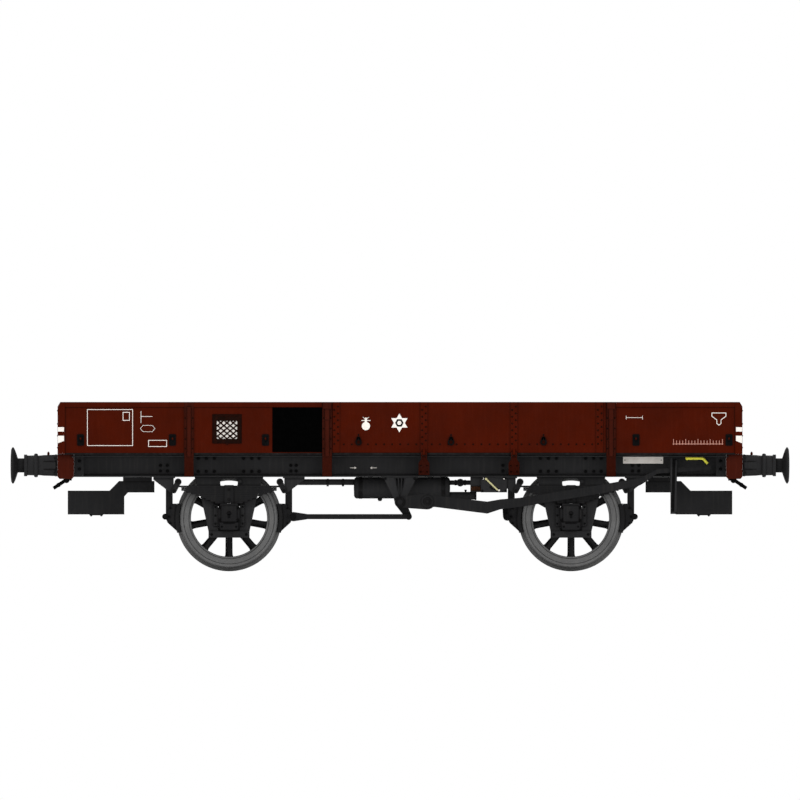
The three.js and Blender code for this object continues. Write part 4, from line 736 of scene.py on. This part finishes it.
def end_bolts(form):
    """Bolts of the draw plate, the end posts and the low housing, for the right end."""
    plate = END_X + 0.0253
    for y, z in product((-0.105, 0.105), (-0.068, 0.068)):
        form.nut((plate, y, BUFFER_HEIGHT + z), 0.016, 0.012, ALONG)
    form.turned([(0.045, 0.0), (0.045, 0.010), (0.038, 0.014), (0.029, 0.014)],
                (plate, 0, BUFFER_HEIGHT), ALONG, 32)
    heights = (FRAME_TOP + 0.070, FRAME_TOP + 0.200, FRAME_TOP + 0.330, SIDE_TOP - 0.095)
    for post, y, z in product((-0.450, 0.450), (-0.032, 0.032), heights):
        form.dome((END_X, post + y, z), 0.009, 0.006, ALONG)
    for y, z in product((-1.180, 1.180), (0.060, 0.190)):
        form.dome((END_X, y, FRAME_BOTTOM + z), 0.010, 0.007, ALONG)
    form.box((3.255, -0.100, LOW_BOX - 0.010), (3.406, 0.100, LOW_BOX + 0.002))
    for x, y in product((3.275, 3.386), (-0.075, 0.075)):
        form.nut((x, y, LOW_BOX - 0.010), 0.012, 0.008, DOWN)


def floor_edge(form):
    """Steel edge under the planks' ends, along the near side."""
    form.box((-3.600, -1.356, FRAME_BOTTOM + 0.2205), (3.600, -1.200, FRAME_BOTTOM + 0.2275))


def guide_slot_shade(form):
    """Dark plate painted on the outer strap of the hand lever's guide as the shade in its slot."""
    face = -low("solebar_near").y
    form.plate([(2.988, FRAME_BOTTOM + 0.205), (3.022, FRAME_BOTTOM + 0.205),
                (3.006, LOW_BOX + 0.030), (2.976, LOW_BOX + 0.030)], -face - 0.0006, -face + 0.003)
    for z in (FRAME_BOTTOM + 0.195, LOW_BOX + 0.020):
        form.nut((3.027, -face, z), 0.008, 0.004)


Form(frame_bolts).doubled().piece("frame_bolts", "bolt")
Form(floor_screws).piece("floor_screws", "bolt")
running = Form()
for (_, way, _), (_, _, turn) in product(ENDS, SIDES):
    where = shift(way * AXLE_X, 0, 0) @ turn
    running.merge(Form(box_bolts).moved(shift(0, 0, AXLE_HEIGHT)).moved(where))
    running.merge(Form(brake_nuts).moved(where))
running.piece("running_gear_nuts", "bolt")
cocks, plugs = Form(), Form()
for _, way, facing in ENDS:
    for y in (-0.420, 0.420):
        cocks.merge(Form(pipe_cock).moved(shift(way * END_X, y, FRAME_BOTTOM) @ facing))
    for y in (-BUFFER_Y, BUFFER_Y):
        plugs.nut((way * (END_X + 0.100), y, BUFFER_HEIGHT + 0.124), 0.014, 0.018, UP)
Form(end_bolts).doubled().piece("end_bolts", "bolt")
# A dark plate stands for the shade in the slot of the hand lever's guide.
Form(guide_slot_shade).piece("guide_slot_shade", "bolt")
cocks.piece("pipe_cocks", "bolt")
plugs.piece("buffer_plugs", "side")
for side, _, turn in SIDES:
    Form(door_rivets).moved(turn).piece(f"door_rivets_{side}", "rivet", f"drop_door_{side}",
                                        slot="side_paint")
    Form(joint_strips).moved(turn).piece(f"joint_strips_{side}", "post")
    Form(floor_edge).moved(turn).piece(f"floor_edge_{side}", "frame")
    Form(post_bolts, hinge_bolts).moved(turn).piece(f"post_rivets_{side}", "rivet",
                                                    slot="post_paint")


# ---- hooks, rings and label frame

ROPE_HOOKS = (-3.503, -2.495, -1.475, 2.588, 3.608)
DOOR_RINGS = (-0.455, 0.559, 1.574)
FITTING_Z = SIDE_TOP - 0.416


def rope_hook(form):
    """A plate with four rivets and a bent hook, about its middle, over the model's plain one."""
    face = -SIDE_FACE - 0.0095
    form.plate([(-0.037, -0.054), (-0.029, -0.062), (0.029, -0.062), (0.037, -0.054),
                (0.037, 0.054), (0.029, 0.062), (-0.029, 0.062), (-0.037, 0.054)],
               face, -SIDE_FACE)
    profile = [(0, -0.011), (-0.0245, -0.011), (-0.030, -0.006), (-0.030, 0.029), (-0.013, 0.029),
               (-0.0005, 0.011), (0, 0.011)]
    form.ringed([[(x, face + y, z) for y, z in profile] for x in (-0.011, 0.011)])
    for x, z in product((-0.023, 0.023), (-0.043, 0.043)):
        form.dome((x, face, z), 0.008, 0.005)


def door_ring(form):
    """A pear-shaped ring that hangs flat on the door, about its staple."""
    front, back = -SIDE_FACE - 0.0190, -SIDE_FACE - 0.0075
    arc = []
    for step in range(25):
        angle = math.radians(-215 + 250 * step / 24)
        arc.append((0.027 * math.cos(angle), -0.050 + 0.027 * math.sin(angle)))
    form.band([(-0.009, 0.004), *arc, (0.009, 0.004)], 0.0156, front, back)
    form.plate([(-0.0155, 0), (-0.010, 0.012), (0, 0.0155), (0.010, 0.012), (0.0155, 0),
                (0.022, -0.022), (0.012, -0.030), (0, -0.0295), (-0.012, -0.030),
                (-0.022, -0.022)], front, back)
    form.box((-0.0075, front - 0.003, -0.0075), (0.0075, -SIDE_FACE, 0.0075))
    form.dome((0, -SIDE_FACE, 0.030), 0.009, 0.005)


def rectangle(x0, x1, z0, z1):
    """Corners in x and z, for a plate or band."""
    return [(x0, z0), (x1, z0), (x1, z1), (x0, z1)]


# The label's window and its holder: left, right, bottom, top.
LABEL_X = -1.897
WINDOW = (LABEL_X - 0.112, LABEL_X + 0.112, SIDE_TOP - 0.403, SIDE_TOP - 0.207)
HOLDER = (LABEL_X - 0.153, LABEL_X + 0.153, SIDE_TOP - 0.448, SIDE_TOP - 0.142)


def label_card(form):
    left, right, bottom, top = WINDOW
    form.box((left - 0.005, -SIDE_FACE - 0.002, bottom - 0.005),
             (right + 0.005, -SIDE_FACE - LIFT, top + 0.005))


def label_mesh(form):
    """Crossed wires over the card, clipped to the window."""
    left, right, bottom, top = WINDOW
    middle = (bottom + top) / 2 - 0.011
    for lean, index in product((-1, 1), range(-5, 6)):
        rate = lean * 0.83
        cut = []
        for x in (left, right):
            z = middle + rate * (x - LABEL_X - (index + 0.5) * 0.0694)
            held = min(max(z, bottom), top)
            cut.append((x + (held - z) / rate, held))
        (x0, z0), (x1, z1) = cut
        if left - 1e-6 <= min(x0, x1) and max(x0, x1) <= right + 1e-6 and abs(x1 - x0) > 0.01:
            y = -SIDE_FACE - (0.0075 if lean > 0 else 0.0095)
            form.rod((x0, y, z0), (x1, y, z1), 0.0085, 6)


def label_edge(form):
    """Dark holder round the label's window, and the joint at its foot."""
    left, right, bottom, top = WINDOW
    x0, x1, z0, z1 = HOLDER
    front, back = -SIDE_FACE - 0.0132, -SIDE_FACE - 0.0110
    form.band(rectangle(x0 - 0.0035, x1 + 0.0035, z0 - 0.0035, z1 + 0.0035), 0.007,
              -SIDE_FACE - 0.006, -SIDE_FACE, True)
    for start, end, low_edge, high_edge in ((x0, x1, top, z1), (x0, x1, z0, bottom),
                                            (x0, left, bottom, top), (right, x1, bottom, top)):
        form.box((start, front, low_edge), (end, back, high_edge))


def label_catch(form):
    """Catch under the window, the holder's rivets and the rod of its lid."""
    x, z, face = LABEL_X, HOLDER[2], -SIDE_FACE - 0.012
    form.plate([(x - 0.018, z + 0.004), (x + 0.018, z + 0.004), (x + 0.006, z - 0.020),
                (x - 0.006, z - 0.020)], face - 0.002, -SIDE_FACE)
    for out, rise in product((-0.136, 0.136), (0.018, 0.270)):
        form.dome((x + out, face, z + rise), 0.006, 0.004)
    form.rod((x - 0.100, face - 0.003, HOLDER[3] - 0.012),
             (x + 0.100, face - 0.003, HOLDER[3] - 0.012), 0.006, 8)


hooks = Form()
for x in ROPE_HOOKS:
    hooks.merge(Form(rope_hook).moved(shift(x, 0, FITTING_Z)))
hooks.doubled().piece("rope_hooks", "bolt")
for side, _, turn in SIDES:
    rings = Form()
    for x in DOOR_RINGS:
        rings.merge(Form(door_ring).moved(shift(x, 0, FITTING_Z + 0.025)))
    rings.moved(turn).piece(f"door_rings_{side}", "bolt", f"drop_door_{side}")
    Form(label_card).moved(turn).piece(f"label_card_{side}", "white")
    Form(label_mesh).moved(turn).piece(f"label_mesh_{side}", "rivet", slot="post_paint")
    Form(label_edge).moved(turn).piece(f"label_edge_{side}", "rivet", slot="side_paint")
    Form(label_catch).moved(turn).piece(f"label_catch_{side}", "rivet", slot="side_paint")


# ---- plain marks

LINE = 0.0062  # width of a painted line
MARK = (-SIDE_FACE - 0.0016, -SIDE_FACE - LIFT)  # its front and back, on a side panel
STAR = (-0.007, 1.627)  # middle of the star, in x and z
PLATE_LEFT, PLATE_RIGHT, PLATE_FACE = 2.446, 2.885, WEB_FACE + 0.003


def panel_marks(form):
    """Blank white frames and lines on the fixed panels of the near side."""
    front, back = MARK
    for outline in (
            rectangle(-3.428, -2.932, 1.378, 1.773), rectangle(-3.037, -2.967, 1.655, 1.743),
            rectangle(-2.757, -2.559, 1.368, 1.436)):
        form.band(outline, LINE, front, back, True)
    form.band([(-2.846, 1.5655), (-2.818, 1.600), (-2.716, 1.600), (-2.688, 1.5655),
               (-2.716, 1.531), (-2.818, 1.531)], LINE * 0.6, front, back, True)
    form.band([(-2.840, 1.757), (-2.840, 1.625)], LINE * 0.8, front, back)
    form.band([(-2.836, 1.697), (-2.714, 1.697)], LINE * 0.8, front, back)
    form.band([(2.480, 1.685), (2.659, 1.685)], LINE * 0.7, front, back)
    for x in (2.480, 2.659):
        form.band([(x, 1.665), (x, 1.705)], LINE * 0.7, front - 0.0004, back)
    form.band([(3.420, 1.736), (3.574, 1.736), (3.574, 1.700), (3.520, 1.660), (3.520, 1.620),
               (3.497, 1.603), (3.474, 1.620), (3.474, 1.660), (3.420, 1.700)], LINE * 1.1,
              front, back, True)


def scale_marks(form):
    """A plain scale of 17 strokes on the near side's right panel."""
    front, back = MARK
    start, pitch, count, bold = 2.999, 0.0335, 17, 0.006
    form.band([(start - 0.010, 1.396), (3.543, 1.396)], bold, front, back)
    for index in range(count):
        x = start + index * pitch
        top = 1.434 if index % 4 else 1.449
        form.band([(x, 1.388), (x, top)], bold, front - 0.0004, back)


def door_marks(form):
    """A disc under a knob with rays and a six-point star, both plain, on the near door."""
    front, back = MARK
    x, z = -0.374, 1.5925
    form.plate(circle(x, z, 0.0455), front, back)
    form.plate([(x - 0.013, z + 0.040), (x + 0.013, z + 0.040), (x + 0.012, z + 0.085),
                (x, z + 0.096), (x - 0.012, z + 0.085)], front - 0.0004, back)
    rays = ((0.062, 0.050, 0.060, 0.0080), (0.078, 0.033, 0.098, 0.0050))
    for way, (root, out, tip, width) in product((-1, 1), rays):
        form.band([(x + way * 0.008, z + root), (x + way * out, z + tip)], width, front - 0.0008,
                  back)
    star = []
    for index in range(12):
        radius = 0.0595 if index % 2 else 0.103
        angle = math.radians(90 + 30 * index)
        star.append((STAR[0] + radius * math.cos(angle), STAR[1] + radius * math.sin(angle)))
    form.plate(star, front, back)


def star_centre(form):
    """Dark ring of the star's blank middle."""
    form.band(circle(*STAR, 0.036, 6), 0.019, -SIDE_FACE - 0.0024, -SIDE_FACE - 0.001, True)


def corner_marks(form):
    """White bands on the corner posts, at both ends of the near side."""
    front, back = -POST_FACE - 0.0014, -POST_FACE - LIFT
    for way in (-1, 1):
        inner, outer = way * 3.684, way * 3.752
        form.plate([(inner, 1.532), (outer, 1.532), (outer, 1.580), (inner, 1.580)], front, back)
        form.plate([(inner, 1.430), (outer, 1.404), (outer, 1.486), (inner, 1.486)], front, back)


def frame_marks(form):
    """Blank plate and wheelbase arrows on the near solebar's web."""
    front, back = -PLATE_FACE, -WEB_FACE - LIFT
    form.plate(rectangle(PLATE_LEFT, PLATE_RIGHT, FRAME_BOTTOM + 0.147, FRAME_BOTTOM + 0.223),
               front, back)
    z = FRAME_BOTTOM + 0.100
    for tail, tip in ((-0.548, -0.476), (-0.256, -0.329)):
        way = 1 if tip > tail else -1
        form.band([(tail, z), (tip - way * 0.018, z)], 0.006, front + 0.0015, back)
        form.plate([(tip - way * 0.024, z - 0.014), (tip, z), (tip - way * 0.024, z + 0.014)],
                   front + 0.0015, back)


def plate_screws(form):
    for x in (PLATE_LEFT + 0.020, PLATE_RIGHT - 0.020):
        form.dome((x, -PLATE_FACE, FRAME_BOTTOM + 0.185), 0.006, 0.004)


def curb_line(form):
    """Grey edge of the floor, under the sides."""
    face = SIDE_FACE - 0.006
    edges = [-3.672] + [post + way * 0.054 for post in POSTS for way in (-1, 1)] + [3.672]
    for start, end in zip(edges[::2], edges[1::2]):
        form.box((start, -face - 0.0012, FRAME_TOP - 0.006), (end, -face, FRAME_TOP + 0.0105))


def notice_board(form):
    face = SIDE_FACE + 0.004
    form.box((-1.399, -face - 0.0012, FRAME_TOP + 0.021),
             (-0.8555, -face + 0.002, SIDE_TOP - 0.060))


for side, _, turn in SIDES:
    door = f"drop_door_{side}"
    Form(panel_marks, corner_marks, frame_marks).moved(turn).piece(
        f"white_marks_{side}", "white", smooth=False)
    Form(scale_marks).moved(turn).piece(f"scale_marks_{side}", "rose", smooth=False)
    Form(door_marks).moved(turn).piece(f"door_marks_{side}", "white", door, smooth=False)
    Form(star_centre).moved(turn).piece(f"star_centre_{side}", "board", door, smooth=False)
    Form(plate_screws).moved(turn).piece(f"plate_screws_{side}", "bolt", slot="")
    Form(curb_line).moved(turn).piece(f"curb_line_{side}", "frame", smooth=False)
    Form(notice_board).moved(turn).piece(f"notice_board_{side}", "board", smooth=False)


# ---- changeover and hand lever

CHANGEOVER_FACE = -SOLEBAR_EDGE + 0.010  # front of its plate
HANDLE_Z = 1.237


def yellow_bars(form):
    """Bent release handle, on the near side only."""
    y, z = -SOLEBAR_EDGE - 0.022, HANDLE_Z
    form.tube([(3.140, y, z), (3.300, y, z), (3.318, y, 1.235), (3.331, y, 1.228),
               (3.345, y, 1.212), (3.372, y, 1.180)], 0.0150, 14)
    form.turned([(0.001, -0.019), (0.014, -0.014), (0.019, 0), (0.014, 0.014),
                 (0.001, 0.019)], (3.146, y, z), ALONG, 16)


def changeover_pointer(form):
    pivot, back = (0.944, 1.012), CHANGEOVER_FACE - LIFT
    form.band([pivot, (1.072, 0.889)], 0.017, CHANGEOVER_FACE - 0.010, back)
    form.plate(circle(*pivot, 0.013, 20), CHANGEOVER_FACE - 0.012, back)


def changeover_dots(form):
    for x, z in ((0.911, 1.017), (1.144, 1.017), (1.086, 0.887)):
        form.plate(circle(x, z, 0.011, 16), CHANGEOVER_FACE - 0.003, CHANGEOVER_FACE - LIFT)


def changeover_back(form):
    """Plate behind the changeover's spring, under the flange of the solebar."""
    form.box((0.771, -SOLEBAR_EDGE + 0.0582, FRAME_BOTTOM - 0.166),
             (0.899, -SOLEBAR_EDGE + 0.0680, FRAME_BOTTOM))


def changeover_spring(form):
    """Coil spring on the changeover's rod."""
    y, z = -SOLEBAR_EDGE + 0.034, FRAME_BOTTOM - 0.127
    turns, steps = 12, 15
    path = []
    for step in range(turns * steps + 1):
        angle = 2 * math.pi * step / steps
        path.append((0.782 + 0.103 * step / (turns * steps), y + 0.0195 * math.cos(angle),
                     z + 0.0215 * math.sin(angle)))
    form.tube(path, 0.0034, 6)


def handle_brackets(form):
    """Clips of the yellow handle, and bolts of the changeover's plate."""
    y = -SOLEBAR_EDGE
    for x in (3.205, 3.270):
        form.box((x, y - 0.030, HANDLE_Z - 0.015), (x + 0.015, y + 0.002, HANDLE_Z + 0.015))
    for x, drop in product((0.905, 1.156), (0.015, 0.150)):
        form.nut((x, CHANGEOVER_FACE, FRAME_BOTTOM - drop), 0.011, 0.008)
    form.band([(0.985, 0.930), (1.010, 0.905), (1.050, 0.900)], 0.012, y + 0.004, y + 0.0105)


def lever_rings(form):
    """Raised rings on the hand lever's hub and root, and the root's pin."""
    hub, root = (0, -LEVER_FACE, SHAFT_HEIGHT), (0.300, -LEVER_FACE, SHAFT_HEIGHT + 0.007)
    form.turned([(0.060, -0.004), (0.060, 0.004), (0.056, 0.006), (0.040, 0.006), (0.036, 0.003),
                 (0.036, -0.004)], hub, NEAR, 40, True)
    form.turned([(0.070, -0.004), (0.070, 0.006), (0.064, 0.009), (0.048, 0.009), (0.044, 0.005),
                 (0.044, -0.004)], root, NEAR, 44, True)
    form.nut(root, 0.026, 0.014)


Form(yellow_bars).piece("yellow_bars", "yellow")
Form(changeover_pointer).piece("changeover_pointer", "cream")
Form(changeover_dots).piece("changeover_dots", "white")
Form(changeover_back).piece("changeover_back", "frame")
Form(changeover_spring).piece("changeover_spring", "rust")
Form(handle_brackets).piece("handle_brackets", "bolt")
Form(lever_rings).piece("lever_rings", "iron", "hand_brake_lever")


# ---- floor, light and camera


def add_floor():
    bpy.ops.mesh.primitive_plane_add(size=400)
    floor = bpy.context.object
    floor.name = "floor"
    look = Surface("floor_pale", 0.9, 0.1)
    look.shader.inputs["Base Color"].default_value = (0.86, 0.86, 0.86, 1)
    floor.data.materials.append(look.material)


def add_world():
    """Soft even light, white where the camera, a gloss or clear material sees it."""
    world = bpy.data.worlds.new("studio")
    bpy.context.scene.world = world
    world.use_nodes = True
    tree = world.node_tree
    tree.nodes.clear()
    new, link = tree.nodes.new, tree.links.new
    paths = new("ShaderNodeLightPath")
    seen = paths.outputs["Is Camera Ray"]
    for ray in ("Is Glossy Ray", "Is Transmission Ray"):
        node = new("ShaderNodeMath")
        node.operation, node.use_clamp = "ADD", True
        link(seen, node.inputs[0])
        link(paths.outputs[ray], node.inputs[1])
        seen = node.outputs[0]
    level = new("ShaderNodeMapRange")
    level.inputs["To Min"].default_value = 0.62
    level.inputs["To Max"].default_value = 1.0
    link(seen, level.inputs["Value"])
    background = new("ShaderNodeBackground")
    background.inputs["Color"].default_value = (1, 1, 1, 1)
    link(level.outputs["Result"], background.inputs["Strength"])
    output = new("ShaderNodeOutputWorld")
    link(background.outputs[0], output.inputs["Surface"])


def add_lamp(name, place, size, power):
    """A soft lamp that looks at the middle of the wagon."""
    data = bpy.data.lights.new(name, "AREA")
    data.shape = "RECTANGLE"
    data.size, data.size_y = size
    data.energy = power
    lamp = bpy.data.objects.new(name, data)
    bpy.context.collection.objects.link(lamp)
    lamp.location = place
    aim = Vector((0, 0, 0.9)) - Vector(place)
    lamp.rotation_euler = aim.to_track_quat("-Z", "Y").to_euler()


def add_camera():
    """Camera of a side elevation: level, square to the near side and without perspective."""
    data = bpy.data.cameras.new("camera")
    data.type = "ORTHO"
    data.ortho_scale = 8.772
    data.clip_end = 200
    camera = bpy.data.objects.new("camera", data)
    bpy.context.collection.objects.link(camera)
    camera.location = (0, -30, 1.878)
    camera.rotation_euler = (math.pi / 2, 0, 0)
    bpy.context.scene.camera = camera


add_floor()
add_world()
for lamp in (("key", (-7, -12, 9), (9, 5), 520), ("fill", (9, -11, 4), (8, 6), 260),
             ("low", (0, -14, 1.2), (12, 2), 280), ("back", (2, 12, 10), (9, 5), 420),
             ("top", (0, 0, 16), (14, 9), 500), ("left", (-16, 2, 6), (6, 4), 420),
             ("right", (16, -2, 6), (6, 4), 420)):
    add_lamp(*lamp)
add_camera()
bpy.context.scene.view_settings.view_transform = "Standard"
